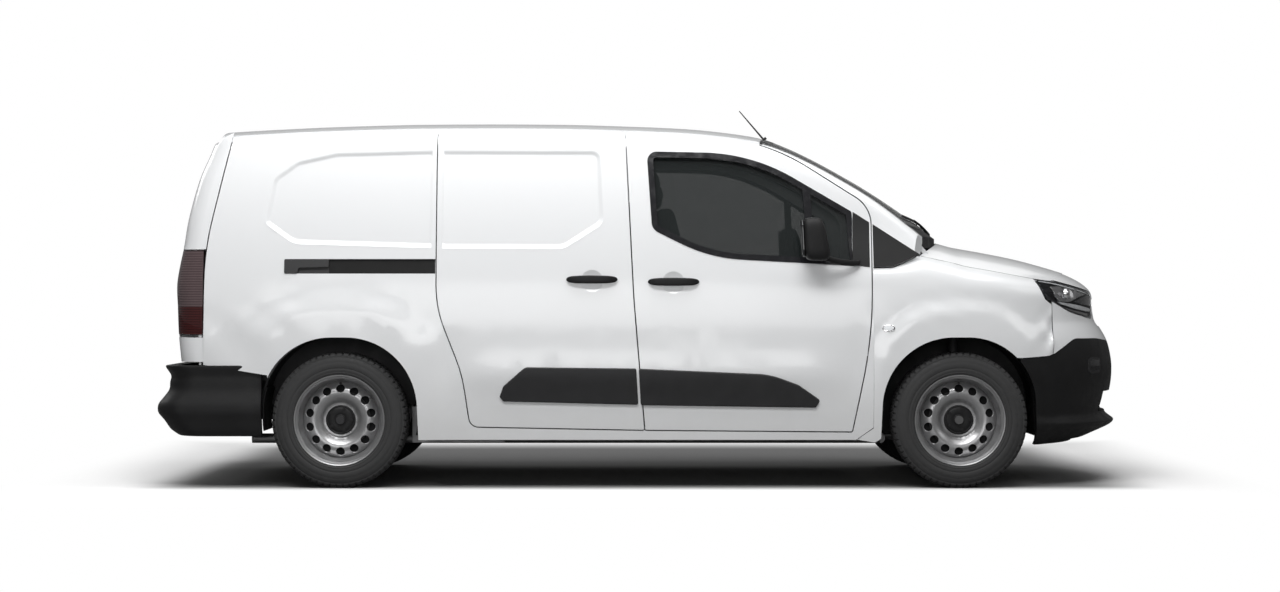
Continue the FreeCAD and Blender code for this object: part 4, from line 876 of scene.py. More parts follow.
def grown_by(tree, name, values):
    """What a tree makes from its inputs, as a plain mesh piece."""
    holder = placed(name + "_holder", bpy.data.meshes.new(name + "_holder"))
    modifier = holder.modifiers.new("made", "NODES")
    modifier.node_group = tree
    for label, value in values.items():
        modifier[input_of(tree, label)] = value
    seen = holder.evaluated_get(bpy.context.evaluated_depsgraph_get())
    mesh = bpy.data.meshes.new_from_object(seen)
    mesh.name = name
    bpy.data.objects.remove(holder)
    return placed(name, mesh)


RING = copying_tree("ring_of_copies", round_the_axle)


def copies_of(tree, name, item, count, finish, **more):
    """The tree's copies of an item, which is used up."""
    made = grown_by(tree, name, {"Item": item, "Count": count, "Finish": finish.material, **more})
    bpy.data.objects.remove(item)
    return made


# %% [markdown]
# The tyre is a turned carcass with moulded rings on its walls. Its tread is six ribs of blocks,
# 62 pitches round, each block a small lofted bar with chamfered edges. The blocks lean, and the
# shoulder blocks run down over the tyre's corner.

# %% The tyre
CARCASS = [
    (206, 84), (216, 90), (220.5, 98), (225, 100), (229, 101.6), (231, 100.6), (233, 100.8),
    (236, 102.1), (247, 102.4), (249, 101.2), (251, 102.4), (266, 102.2), (276, 100.8),
    (279, 99.4), (282, 99.6), (291, 97), (300, 93.2), (303, 90.6), (306, 90.6), (311, 86),
    (316.5, 77), (318, 60), (318.5, 30), (318.5, -30), (318, -60), (316.5, -77), (311, -86),
    (300, -93), (282, -99.6), (260, -102), (236, -102), (225, -100), (216, -90), (206, -84),
    (201.5, -70), (201.5, 70),
]
TREAD_PITCHES = 62
RIBS = [
    ([(61, 325.2), (72, 324.2), (82, 319.5), (90, 309.5)], 0.4, 4.6, 0.018),
    ([(33, 325.8), (45, 325.7), (57, 325.3)], 0.1, 4.9, -0.055),
    ([(3, 326.0), (16, 326.0), (29, 325.9)], 0.5, 5.3, 0.07),
    ([(-29, 325.9), (-16, 326.0), (-3, 326.0)], 0.2, 5.0, 0.07),
    ([(-57, 325.3), (-45, 325.7), (-33, 325.8)], 0.4, 5.2, -0.055),
    ([(-90, 309.5), (-82, 319.5), (-72, 324.2), (-61, 325.2)], 0.2, 4.4, 0.018),
]


def tread_pitch():
    """One pitch of the tread: a block of each rib, lofted along the tyre's width."""
    points, faces = [], []
    for stations, begin, end, lean in RIBS:
        first = len(points)
        bevel = 0.22
        section = [(begin, 8.5), (begin, 1.1), (begin + bevel, 0), (end - bevel, 0), (end, 1.1),
                   (end, 8.5)]
        for out, radius in stations:
            for angle, deep in section:
                a = math.radians(angle + lean * (out - stations[0][0]))
                r = radius - deep
                points.append((r * math.cos(a), -out, r * math.sin(a)))
        count = len(section)
        faces += [tuple(first + v for v in face)
                  for face in grid_faces(len(stations), count, False)]
        faces.append(tuple(first + k for k in range(count)))
        faces.append(tuple(first + (len(stations) - 1) * count + k for k in range(count)))
    return mesh_piece("tread_pitch", points, faces, tyre_rubber, 20)


carcass = turned("carcass", CARCASS, tyre_rubber, 128)
tread = copies_of(RING, "tread", tread_pitch(), TREAD_PITCHES, tyre_rubber)
tyre = joined("tyre", [carcass, tread])
print("a tyre has", len(tyre.data.polygons), "faces")

# %% [markdown]
# A steel wheel is two pressings: the rim, rolled to shape, and the disc, stamped with a bowl for
# the brake and fourteen round vents. The disc uses the same panel maker as the bodywork, on a
# surface that depends only on the radius. A dark cap covers the hub and its five bolts.

# %% The steel wheel
RIM = [
    (216.4, 98.4), (218.6, 95.8), (217.6, 89.5), (211, 86.4), (205, 80), (203.4, 62), (197, 48),
    (191, 36), (189, 0), (191, -30), (203.4, -54), (205, -80), (211, -86.4), (217.6, -89.5),
    (218.6, -95.8), (216.4, -98.4), (213, -97.2), (210.4, -90.6), (204, -88), (199.5, -80),
    (198, -54), (186, -30), (184, 0), (184.5, 20), (187, 34), (192, 46), (195.6, 58),
    (196.6, 70), (198.8, 78.5), (203.6, 85.6), (209.6, 90.4), (212, 96.4),
]
DISC = [(0, 20), (60, 20), (78, 20.5), (86, 23), (96, 31), (108, 40), (120, 47), (130, 49.5),
        (140, 49), (152, 44.5), (164, 35.5), (174, 24), (183, 13)]
CAP = [(0, 44.5), (22, 44.2), (24.5, 43.6), (26, 42.6), (28.5, 42.8), (30.5, 43.8), (50, 42.2),
       (58, 40.4), (60.5, 38.6), (63, 38.8), (65, 40), (68.4, 39.2), (70.6, 36.4), (71, 30),
       (71, 18), (0, 18)]


def disc_place(x, z):
    return x, -along(np.hypot(x, z), DISC), z


def circle(x, z, radius, count):
    a = np.linspace(0, 2 * math.pi, count, endpoint=False)
    return np.column_stack((x + radius * np.cos(a), z + radius * np.sin(a)))


VENTS, VENT_REACH, VENT_RADIUS = 14, 152, 20.8
vents = [circle(VENT_REACH * math.sin(2 * math.pi * k / VENTS),
                VENT_REACH * math.cos(2 * math.pi * k / VENTS), VENT_RADIUS, 24)
         for k in range(VENTS)]
rings = [circle(0, 0, r, n) for r, n in ((72, 48), (86, 60), (100, 68), (114, 76), (126, 84))]
disc = panel("disc", disc_place, circle(0, 0, 186, 120), vents, 9.0, 2.0, 5.0,
             guides=rings, finish=wheel_silver)
rim = turned("rim", RIM, wheel_silver, 128)
valve = mesh_piece("valve", [(5.5 * math.cos(a) * w, -out, 176 + 5.5 * math.sin(a) * w)
                             for out, w in ((30, 1.0), (36, 1.0), (38, 0.7), (62, 0.7), (64, 0.4))
                             for a in np.linspace(0, 2 * math.pi, 12, endpoint=False)],
                   grid_faces(5, 12, False) + [tuple(range(12)), tuple(range(48, 60))],
                   tyre_rubber)
steel_wheel = joined("steel_wheel", [disc, rim, valve])

cap = turned("cap", CAP, black_plastic, 72, False)
bolt_rows = [(9.0, 38.0), (9.0, 42.5), (7.8, 43.9), (0.1, 44.3)]
bolt_points = [(52 + r * math.cos(a), -out, r * math.sin(a)) for r, out in bolt_rows
               for a in np.linspace(0, 2 * math.pi, 18, endpoint=False)]
bolt = mesh_piece("bolt", bolt_points, grid_faces(4, 18, False)
                  + [tuple(range(18)), tuple(range(54, 72))], black_plastic)
hub_cap = joined("hub_cap", [cap, copies_of(RING, "bolts", bolt, 5, black_plastic)])
BRAKE = [(62, 4), (62, -30), (76, -30), (78, -34), (136, -34), (136, -44), (128, -44), (60, -44),
         (50, -20), (50, 4)]
brake = turned("brake", BRAKE, cast_iron, 72)

# %% [markdown]
# Each of the four hubs gets a copy of the wheel. The tyre and the steel wheel stand in for their
# solids, and all of a wheel's pieces turn with its own body.

# %% Four wheels
def hub_places():
    """Each wheel's axle and side, and the move from the origin to its hub."""
    for axle_name, axle_x in (("front", FRONT_AXLE), ("rear", REAR_AXLE)):
        for side_name, hand in (("right", -1), ("left", 1)):
            spot = Matrix.Translation((axle_x / 1000, hand * HUB_OUT / 1000, AXLE_HEIGHT / 1000))
            if hand > 0:
                spot = spot @ Matrix.Rotation(math.pi, 4, "Z")
            yield axle_name, side_name, spot


for axle_name, side_name, spot in hub_places():
    body = f"wheel_{axle_name}_{side_name}"
    for source, label, node in ((tyre, "rubber", f"tyre_{axle_name}_{side_name}"),
                                (steel_wheel, "rim", f"wheel_{axle_name}_{side_name}"),
                                (hub_cap, "hub_cap", None), (brake, "brake", None)):
        piece = copied(source, f"{label}_{axle_name}_{side_name}", spot)
        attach(piece, body)
        if node:
            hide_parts(node)
for source in (tyre, steel_wheel, hub_cap, brake):
    bpy.data.objects.remove(source)
print("four wheels stand on the floor")


# %% [markdown]
# Behind each wheel a dark dust shield closes the view through the vents. It doesn't turn with
# the wheel, so in front it rides on the steered knuckle, and behind on the body.

# %% Dust shields
SHIELD = [(40, -48), (150, -48), (170, -44), (178, -40), (178, -43), (170, -47), (150, -51),
          (40, -51)]
shield = turned("shield", SHIELD, chassis_paint, 64)
for axle_name, side_name, spot in hub_places():
    piece = copied(shield, f"dust_shield_{axle_name}_{side_name}", spot)
    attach(piece, f"knuckle_{side_name}" if axle_name == "front" else "root")
bpy.data.objects.remove(shield)
print("four dust shields")

# %% [markdown]
# A headlamp is a box of parts behind a clear cover: a dark back wall, a silvered reflector with a
# projector lens, a black wedge beside the grille and a light bar along its foot. The sheets are
# laid on the nose's own curve, at a set depth behind it, so the cover follows the bodywork. The
# place round the nose is measured by an angle, which keeps the triangles even where it turns.
# The projector and the blade beside it are solid parts, placed in metres.


# %% The nose surface
def nose_face(s, t):
    """The nose on the right: s counts thousandths of a turn towards its tip, t the height."""
    s, t = np.asarray(s, float), np.asarray(t, float)
    round_it = np.clip(-s / 1000.0, 0.02, 1.5)
    x = TURN_START + (nose_line(t) - TURN_START) * np.cos(round_it) ** (2 / NOSE_SHAPE)
    return x, -side(x, t), t


def round_nose(points):
    """Turns (x, z) points read from the side view into places on the nose surface."""
    x, z = np.asarray(points, float)[:, :2].T
    share = np.clip((x - TURN_START) / (nose_line(z) - TURN_START), 0, 0.9722)
    return np.column_stack((-1000 * np.arccos(share ** (NOSE_SHAPE / 2)), z))


HEADLAMP = [(1876, 996), (1889, 1008), (1966, 1000), (2072, 977), (2157, 956), (2210, 938),
            (2226, 902), (2226, 854), (2214, 819), (2200, 811), (2133, 827), (2070, 842),
            (2025, 861), (1950, 905), (1915, 944)]


def on_nose(name, points, finish, start, thick, leave=(), pitch=12.0, fold=0.8, **more):
    keep = divided(round_nose(points), 9.0)
    return panel(name, nose_face, keep, leave, pitch, fold, thick, start, finish=finish, **more)


lamp_edge = grown(divided(round_nose(HEADLAMP), 9.0), -2.0)
bright_shell = painted_steel("lamp_silver", 0.62, 0.18, 0.9)
light_guide = Finish("light_guide", (0.82, 0.84, 0.86), 0.22, Coat_Weight=0.7)
light_guide.relief(light_guide.node("ShaderNodeTexWave", {"bands_direction": "X"},
                                    {"Vector": light_guide.places, "Scale": 90.0}), 0.3, 0.001)
cover = panel("headlamp_cover", nose_face, lamp_edge, (), 12.0, 0.8, 3.0, 0.4, finish=clear_lens)
back_wall = panel("headlamp_back", nose_face, grown(lamp_edge, -2.2), (), 16.0, 0.8, 38.0, 35.0,
                  finish=gloss_black)
rim_wall = panel("headlamp_rim", nose_face, grown(lamp_edge, -1.0),
                 [grown(lamp_edge, -7.0)], 12.0, 0.8, 37.0, 3.6, finish=gloss_black)
print("the headlamp's outline has", len(lamp_edge), "points")

# %% [markdown]
# Inside, the reflector is a sheet that sinks towards its middle, so it catches the light like a
# bowl. The light bar and the small lower reflector sit nearer to the cover.

# %% The headlamp's inside
REFLECTOR = [(1962, 973), (2037, 977), (2107, 968), (2165, 950), (2200, 936), (2142, 921),
             (2086, 900), (2060, 893), (2012, 897), (1984, 924)]
WEDGE = [(2096, 894), (2145, 914), (2204, 930), (2219, 912), (2221, 872), (2150, 882)]
LIGHT_BAR = [(2002, 894), (2065, 886), (2142, 874), (2221, 857), (2221, 845), (2180, 846),
             (2100, 861), (2018, 882)]
LOW_SHELL = [(2026, 872), (2100, 853), (2180, 838), (2214, 836), (2206, 822), (2192, 819),
             (2133, 834), (2074, 848)]
TOP_LINE = [(1890, 1000), (1966, 991), (2072, 968), (2157, 947), (2206, 932), (2206, 928),
            (2157, 942), (2072, 963), (1966, 986), (1892, 996)]


class Bowl:
    """A hollow in the reflector that deepens towards a middle point."""

    def __init__(self, x, z, radius, depth):
        self.middle = round_nose([(x, z)])[0]
        self.radius = radius
        self.depth = depth

    def place(self, s, t):
        x, y, z = nose_face(s, t)
        off = np.hypot((np.asarray(s) - self.middle[0]) * 0.9, np.asarray(t) - self.middle[1])
        deep = self.depth * (1 - smooth(off / self.radius))
        return x - 0.75 * deep, y + 0.6 * deep, z


bowl = Bowl(2075, 936, 62, 20)
reflector = panel("reflector", bowl.place, divided(round_nose(REFLECTOR), 8.0), (), 7.0, 0.8, 13.0,
                  9.0, finish=bright_shell)
wedge = on_nose("lamp_wedge", WEDGE, gloss_black, 5.0, 12.0)
light_bar = on_nose("light_bar", LIGHT_BAR, light_guide, 4.5, 12.0)
low_shell = on_nose("low_reflector", LOW_SHELL, bright_shell, 12.0, 18.0)
top_line = on_nose("top_line", TOP_LINE, light_guide, 4.2, 8.0, pitch=8.0)
lens_profile = [(0, 17), (10, 16.4), (18, 13.6), (23, 9), (24.6, 6), (25.4, 5), (25.4, -8), (0, -8)]
projector = turned("projector", lens_profile, chrome, 48, False)
aim = Matrix.Translation((2.043, -0.652, 0.934)) @ Matrix.Rotation(math.radians(72), 4, "Z")
projector.data.transform(aim)
blade = mesh_piece("lamp_blade", [(x, y, z) for y in (0, 5) for x, z in
                                  ((-5, -26), (9, -26), (17, 22), (3, 24))],
                   [(0, 1, 2, 3), (4, 7, 6, 5), (0, 4, 5, 1), (1, 5, 6, 2), (2, 6, 7, 3),
                    (3, 7, 4, 0)], chrome)
blade.data.transform(Matrix.Translation((2.075, -0.712, 0.934))
                     @ Matrix.Rotation(math.radians(52), 4, "Z"))
headlamp = joined("headlamp_right", [back_wall, rim_wall, reflector, wedge, light_bar, low_shell,
                                     top_line, projector, blade])
for lamp_piece, name in ((headlamp, "headlamp_left"), (cover, "headlamp_cover_left")):
    twin = mirrored(lamp_piece, name)
    for piece in (lamp_piece, twin):
        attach(piece, "root")
        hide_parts("headlamps")
print("two headlamps, each of", len(headlamp.data.polygons), "faces")

# %% [markdown]
# The doors carry black trim: rub strips low down, pull handles over their hollows, and mirrors on
# stubby arms. Each is made for the right side, as the photograph shows it. The front doors' trim
# and the mirrors are mirrored; the sliding door's trim stays on the right only. The rub strips are
# panels that stand 11 mm proud with a rounded edge. Handles and mirror shells are lofted through
# rounded sections.


# %% Lofted bars
def lofted(name, stations, finish, count=24, square=3.0, sharp=34.0):
    """A closed bar through stations of (centre, half across, half up)."""
    rows = []
    for centre, across, up in stations:
        for k in range(count):
            a = 2 * math.pi * k / count
            c = math.copysign(abs(math.cos(a)) ** (2 / square), math.cos(a))
            s = math.copysign(abs(math.sin(a)) ** (2 / square), math.sin(a))
            rows.append(np.array(centre) + np.array(across) * c + np.array(up) * s)
    last = (len(stations) - 1) * count
    faces = grid_faces(len(stations), count, False)
    faces += [tuple(range(count)), tuple(range(last, last + count))]
    return mesh_piece(name, rows, faces, finish, sharp)


def handle(name, middle, height):
    """A pull handle whose ends curve back towards the door."""
    stations = []
    for u in np.sin(np.linspace(-math.pi / 2, math.pi / 2, 25)):
        x = middle + 123 * u
        taper = max(1 - abs(u) ** 9, 0.0) ** 0.5
        stand = 8 + 16 * (1 - abs(u) ** 3.4)
        y = -(float(side(x, height)) + stand)
        tall = (19.5 - 4.5 * u * u) * max(taper, 0.04)
        stations.append(((x, y, height), (0, 7.2 * max(taper, 0.04), 0), (0, 0, tall)))
    return lofted(name, stations, black_plastic, 24, 3.4)


def strip(name, corners):
    """A rub strip on the side: the outline it was read with, standing proud."""
    return panel(name, side_surface(-1), outline(corners, 12.0), (), 18.0, 6.5, -0.4, -11.0,
                 finish=rub_plastic)


FRONT_STRIP = [(-32, 400, 8), (-42, 575, 8), (585, 548, 400), (722, 497, 60), (827, 424, 12),
               (806, 388, 8)]
SLIDE_STRIP = [(-708, 440, 8), (-690, 490, 10), (-585, 582, 40), (-54, 576, 8), (-44, 402, 8),
               (-690, 418, 8)]
slide_trim = joined("slide_trim", [strip("slide_strip", SLIDE_STRIP),
                                   handle("slide_handle", -266, 1001)])
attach(slide_trim, "root")
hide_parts("side_trim_right")
door_trim = joined("door_trim_r", [strip("front_strip", FRONT_STRIP),
                                   handle("front_handle", 124.5, 990)])
door_trim_twin = mirrored(door_trim, "door_trim_l")
for piece, name in ((door_trim, "right"), (door_trim_twin, "left")):
    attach(piece, f"door_front_{name}")
    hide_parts(f"door_trim_{name}")
print("rub strips and handles:", len(door_trim.data.polygons), "faces a door")

# %% [markdown]
# A door mirror is a hollow shell with its glass set in the face that looks back. The shell is a
# rounded box that swells forwards, and its arm meets a plate in the window's front corner.

# %% The mirrors
SAIL = [(986, 1330, 0), (1068, 1277, 0), (1066, 1058, 0), (1006, 1066, 0), (980, 1075, 0)]


def flat_back(s, t):
    s = np.asarray(s, float)
    return 725.0 + 0.0 * s, -s, np.asarray(t, float)


shell_stations = []
for v in np.sin(np.linspace(-math.pi / 2, math.pi / 2, 25)):
    size = max(1 - abs(v) ** 4.5, 0.0) ** (1 / 4.5)
    size = max(size, 0.03)
    lean = 0.5 * (1 - v)
    shell_stations.append(((796 + 4 * lean - 3, -977.5 + 71 * v, 1194.5 - 4 * lean),
                           (66 * size, 0, 0), (0, 0, (99 + 6 * lean) * size)))
shell = lofted("mirror_shell", shell_stations, black_plastic, 40, 4.2, 60)
glass_edge = outline([(916, 1108, 26), (1038, 1108, 30), (1038, 1282, 34), (916, 1282, 30)], 8)
glass_rim = panel("mirror_rim", flat_back, glass_edge, [grown(glass_edge, -7)], 10, 1.2, 6, 0.0,
                  finish=gloss_black)
glass = panel("mirror_glass", flat_back, grown(glass_edge, -7.2), (), 14, 0.6, 5, 2.0,
              finish=chrome)
arm = lofted("mirror_arm", [((1016, -886, 1080), (3, 13, 0), (0, 0, 13)),
                            ((975, -908, 1079), (3, 15, 0), (0, 0, 15)),
                            ((930, -936, 1082), (4, 16, 0), (0, 0, 15)),
                            ((880, -958, 1092), (4, 18, 0), (0, 0, 16)),
                            ((830, -968, 1112), (4, 20, 0), (0, 0, 18))], black_plastic, 20, 3.0)
sail = panel("mirror_plate", side_surface(-1), along_side(grown(outline(SAIL, 10), -1.2)), (),
             14, 1.2, -0.4, -3.0, finish=black_plastic)
for piece in (shell, glass_rim, glass):
    for vertex in piece.data.vertices:
        rise = max(-1.0, min(1.0, (vertex.co.z - 1.1945) / 0.1))
        vertex.co.x = 0.790 + (vertex.co.x - 0.790) * (0.88 - 0.12 * rise) - 0.012 * rise
mirror = joined("mirror_r", [shell, glass_rim, glass, arm, sail])
mirror_twin = mirrored(mirror, "mirror_l")
for piece, name in ((mirror, "right"), (mirror_twin, "left")):
    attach(piece, f"door_front_{name}")
    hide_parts(f"mirror_{name}")
print("a mirror has", len(mirror.data.polygons), "faces")

# %% [markdown]
# Slats repeat in a straight row, so the same tree is built with another arrangement, which
# moves each copy by a step. It makes the grille's bars. Each bar is lofted along the nose's
# curve before it is copied upwards.


# %% A row of copies
def by_steps(add, link, start, index, points, copies):
    """Moves each copy one step further than the last."""
    way, move = add("ShaderNodeVectorMath"), add("GeometryNodeSetPosition")
    way.operation = "SCALE"
    link(start.outputs["Step"], way.inputs[0])
    link(index.outputs[0], way.inputs["Scale"])
    link(points.outputs[0], move.inputs["Geometry"])
    link(way.outputs[0], move.inputs["Offset"])
    link(move.outputs[0], copies.inputs["Points"])


ROW = copying_tree("row_of_copies", by_steps, [("Step", "NodeSocketVector")])


def nose_at(y, z):
    """How far ahead the nose is at a half width and height."""
    low, high = TURN_START, float(nose_line(z))
    for _ in range(30):
        middle = (low + high) / 2
        low, high = (middle, high) if side(middle, z) > abs(y) else (low, middle)
    return low


def slat(name, half, z, deep, thick, tall):
    stations = [((nose_at(y, z) - deep, y, z), (thick, 0, 0), (0, 0, tall))
                for y in np.linspace(-half, half, 31)]
    return lofted(name, stations, black_plastic, 12, 3.0)


upper_bars = copies_of(ROW, "upper_bars", slat("slat", 297, 783, 27, 7, 4.2), 6,
                       black_plastic, Step=(-5.2 / 1000, 0.0, 21.6 / 1000))
lower_bars = copies_of(ROW, "lower_bars", slat("low_slat", 427, 360, 30, 7, 4.2), 5,
                       black_plastic, Step=(2.0 / 1000, 0.0, 20.0 / 1000))
posts = []
for y in (-200, 0, 200):
    for low, high, deep in ((772, 903, 33), (352, 448, 36)):
        rows = [((nose_at(y, z) - deep, y, z), (4, 0, 0), (0, 4, 0))
                for z in np.linspace(low, high, 7)]
        posts.append(lofted("grille_post", rows, black_plastic, 10, 3.0))
screen_rows = []
for half, low, high in ((298, 771.5, 904), (428, 351.5, 448)):
    ys, zs = np.linspace(-half, half, 41), np.linspace(low, high, 9)
    grid = [(nose_at(y, z) - deep, y, z) for deep in (35.0, 37.6) for z in zs for y in ys]
    n = len(ys)
    cells = [(r * n + c, r * n + c + 1, (r + 1) * n + c + 1, (r + 1) * n + c)
             for r in range(len(zs) - 1) for c in range(n - 1)]
    m = n * len(zs)
    cells += [tuple(v + m for v in cell) for cell in cells]
    border = ([(c, c + 1) for c in range(n - 1)]
              + [(r * n + n - 1, (r + 1) * n + n - 1) for r in range(len(zs) - 1)]
              + [(m - 1 - c, m - 2 - c) for c in range(n - 1)]
              + [((r + 1) * n, r * n) for r in range(len(zs) - 1)])
    cells += [(a, b, b + m, a + m) for a, b in border]
    screen_rows.append(mesh_piece("grille_back", grid, cells, gloss_black))
grille = joined("grille_bars", [upper_bars, lower_bars, *posts, *screen_rows])
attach(grille, "root")
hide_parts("grille")
print("the grille has", len(grille.data.polygons), "faces")

# %% [markdown]
# An oval side repeater sits on each wing: a plain pale lens in a bright ring.

# %% Side repeaters
def oval(x, z, long_half, tall_half, count=40):
    a = np.linspace(0, 2 * math.pi, count, endpoint=False)
    return np.column_stack((x + long_half * np.cos(a), z + tall_half * np.sin(a)))


ring_oval = oval(1152, 768, 31, 17.5)
ring = panel("repeater_ring", side_surface(-1), ring_oval, [oval(1152, 768, 24, 11.5)], 6, 1.6,
             -0.3, -4.0, finish=chrome)
lens = panel("repeater_lens", side_surface(-1), oval(1152, 768, 24.5, 12.0), (), 6, 1.4, -0.3,
             -5.0, finish=light_guide)
repeater = joined("repeater_right", [ring, lens])
for piece in (repeater, mirrored(repeater, "repeater_left")):
    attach(piece, "root")
print("two side repeaters")

# %% [markdown]
# The load space has blind windows: a window's outline is pressed into the sheet over a soft
# bevel. The solids have the hollow with a plain step, so a thin skin is laid into each one. It
# starts level with the bodywork, rolls over the bevel and lies on the hollow's floor.

# %% Blind windows
REAR_BLIND = [(-1035, 1628, 0), (-1500, 1616, 90), (-1690, 1574, 60), (-1806, 1490, 60),
              (-1840, 1270, 30), (-1700, 1170, 120), (-1035, 1150, 0)]
DOOR_BLIND = [(-985, 1628, 0), (-225, 1626, 45), (-207, 1270, 60), (-400, 1146, 90),
              (-985, 1148, 0)]
FAR_BLIND = [(-1006, 1628, 20), (-225, 1626, 45), (-207, 1270, 60), (-400, 1146, 90),
             (-1006, 1148, 20)]


class BlindWindow:
    """A form pressed into the sheet over a bevel, steeper where it runs beside a door gap."""

    def __init__(self, corners, gap_edge, depth=8.6, bevel=26.0):
        self.chain = outline(corners, 16)
        self.gap_edge = gap_edge
        self.depth = depth
        self.bevel = bevel

    def guides(self):
        """Points down the bevel, so that the mesh follows it."""
        return [grown(self.chain, -self.bevel * k) for k in (0.25, 0.5, 0.75, 1.0, 1.25)]

    def sink(self, x, z):
        x, z = np.asarray(x, float), np.asarray(z, float)
        points = np.column_stack((x.ravel(), z.ravel()))
        within = inside(points, self.chain)
        ends = np.roll(self.chain, -1, axis=0)
        best = np.full(len(points), 1e9)
        for a, b in zip(self.chain, ends):
            run = b - a
            t = np.clip(((points - a) @ run) / max(run @ run, 1e-9), 0, 1)
            off = np.linalg.norm(points - a - t[:, None] * run, axis=1)
            steep = self.gap_edge is not None and max(abs(a[0] - self.gap_edge),
                                                      abs(b[0] - self.gap_edge)) < 1.0
            best = np.minimum(best, off * (4.0 if steep else 1.0))
        return np.where(within, self.depth * smooth(best / self.bevel), 0).reshape(x.shape)


def blind_window(name, corners, gap_edge=None):
    press = BlindWindow(corners, gap_edge)
    edge = grown(press.chain, 1.6)
    return panel(name, side_surface(-1, [press]), along_side(edge), (), 24.0, 0.3, 0.25, -0.35,
                 guides=press.guides(), finish=white_paint)


quarter_blind = blind_window("blind_window_quarter", REAR_BLIND, -1035)
slide_blind = blind_window("blind_window_door", DOOR_BLIND, -985)
far_right = blind_window("blind_far", FAR_BLIND)
quarter_twin = mirrored(quarter_blind, "blind_window_quarter_left")
far_blind = mirrored(far_right, "blind_window_far")
bpy.data.objects.remove(far_right)
for piece in (quarter_blind, slide_blind, quarter_twin, far_blind):
    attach(piece, "root")
print("four blind windows, the widest", round(quarter_blind.dimensions.x, 2), "m long")

# %% [markdown]
# The windscreen has a black printed border, and two wipers rest on its foot. A wiper is an arm, a
# cap over its pivot and a rubber blade, all following the glass a few millimetres above it.


# %% Roof and screen surface
def roof_z(x, y):
    """Height of the roof or the screen at a place in plan."""
    edge = rail_edge(x)
    return roof_line(x) - roof_drop(x) * (y / edge) ** 2


print("the screen's foot is", round(float(roof_z(1400.0, 0.0))), "mm up in the middle")


def roof_place(s, t):
    s, t = np.asarray(s, float), np.asarray(t, float)
    return s, t, roof_z(s, t)


def screen_outline(inset):
    """The windscreen in plan, as closed points, smaller by an inset."""
    ys = np.linspace(-600, 600, 41)
    top = [(598 - 45 * (y / 660) ** 2, y) for y in ys]
    xs = np.linspace(600, 1240, 33)
    left = [(x, rail_edge(x) - 6) for x in xs]
    foot_ys = np.linspace(742, -742, 49)
    foot = [(bonnet_rear(y) - 63, y) for y in foot_ys]
    right = [(x, -(rail_edge(x) - 6)) for x in xs[::-1]]
    points = np.array(top[::-1] + right[::-1] + foot[::-1] + left[::-1], float)
    return grown(points, -inset)


screen_black = Finish("screen_black", (0.008, 0.008, 0.009), 0.14, Coat_Weight=0.4)
screen_black.roughness(screen_black.step(screen_black.noise(24), 0.3, 0.7, 0.10, 0.2))
border = panel("screen_border", roof_place, screen_outline(3), [screen_outline(46)], 22.0, 0.3,
               0.2, -0.35, finish=screen_black)
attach(border, "root")

wiper_parts = []
for pivot_y, tip_y in ((570, -40), (-70, -640)):
    blade_ys = np.linspace(pivot_y - 20, tip_y, 27)
    line = []
    for k, y in enumerate(blade_ys):
        rise = 26 + 30 * k / 26
        x = bonnet_rear(y) - 66 - rise
        line.append((x, y, float(roof_z(x, y)) + 9))
    blade = [((x, y, z), (2.4, 0, 0), (0, 0, 6.5)) for x, y, z in line]
    wiper_parts.append(lofted("wiper_blade", blade, tyre_rubber, 10, 2.6))
    x0 = bonnet_rear(pivot_y) - 34
    pivot = (x0, pivot_y, float(roof_z(x0, pivot_y)) - 2)
    middle = line[13]
    arm_line = []
    for k in range(15):
        share = k / 14
        x = pivot[0] + (middle[0] - pivot[0]) * share
        y = pivot[1] + (middle[1] - pivot[1]) * share
        z = pivot[2] + (middle[2] - pivot[2]) * share + 5 + 6 * math.sin(math.pi * share)
        arm_line.append(((x, y, z), (10 - 5 * share, 0, 0), (0, 0, 4.5 - 1.5 * share)))
    wiper_parts.append(lofted("wiper_arm", arm_line, black_plastic, 12, 3.0))
    cap_rows = [((pivot[0], pivot[1], pivot[2] + h), (r, 0, 0), (0, r, 0))
                for h, r in ((-8, 10), (6, 10), (9, 7), (10, 2))]
    wiper_parts.append(lofted("wiper_cap", cap_rows, black_plastic, 20, 2.0))
wipers = joined("wipers", wiper_parts)
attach(wipers, "root")
print("a printed border and two wipers lie on the screen")

# %% [markdown]
# The bonnet's shut line is a dark thread between two white sheets. A slim black rubber bead lies in
# it along each wing, standing in for the shade inside the gap: painted shade. Lower down, the
# bumper has a moulded frame for a fog lamp at each corner. Inside the frame, a flat gloss-black
# sheet, darker than the frame, stands in for the shade of a recess: painted shade too.

# %% Bonnet beads of painted shade, and fog frames with a painted recess
gap_shade_rows = []
for x in np.linspace(1322, 1900, 40):
    edge = float(bonnet_edge(x)) + 3.2
    gap_shade_rows.append(((x, -edge, float(bonnet_top(x, edge)) - 0.6), (0, 2.7, 0), (0, 0, 1.8)))
# Painted shade: the black bead fills the bonnet's gap, where only shade falls.
gap_shade_bead_right = lofted("bonnet_bead_right", gap_shade_rows, tyre_rubber, 12, 2.0)
FOG_FRAME = [(2152, 556), (2158, 610), (2174, 622), (2232, 618), (2230, 546), (2176, 540)]
FOG_PAINTED_RECESS = [(2166, 560), (2170, 604), (2180, 611), (2226, 608), (2224, 556), (2180, 552)]
fog_frame = on_nose("fog_frame", FOG_FRAME, rub_plastic, -1.6, 0.6)
# Painted shade: the frame's hollow is a flat gloss-black sheet laid over the bumper, darker than
# the frame, standing in for the shade of a recess.
fog_hollow = on_nose("fog_hollow", FOG_PAINTED_RECESS, gloss_black, -2.0, -0.4)
fog_right = joined("fog_right", [fog_frame, fog_hollow])
for piece in (gap_shade_bead_right, fog_right):
    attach(piece, "root")
    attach(mirrored(piece, piece.name.replace("right", "left")), "root")
print("a bead is", round(gap_shade_bead_right.dimensions.x, 2), "m long")

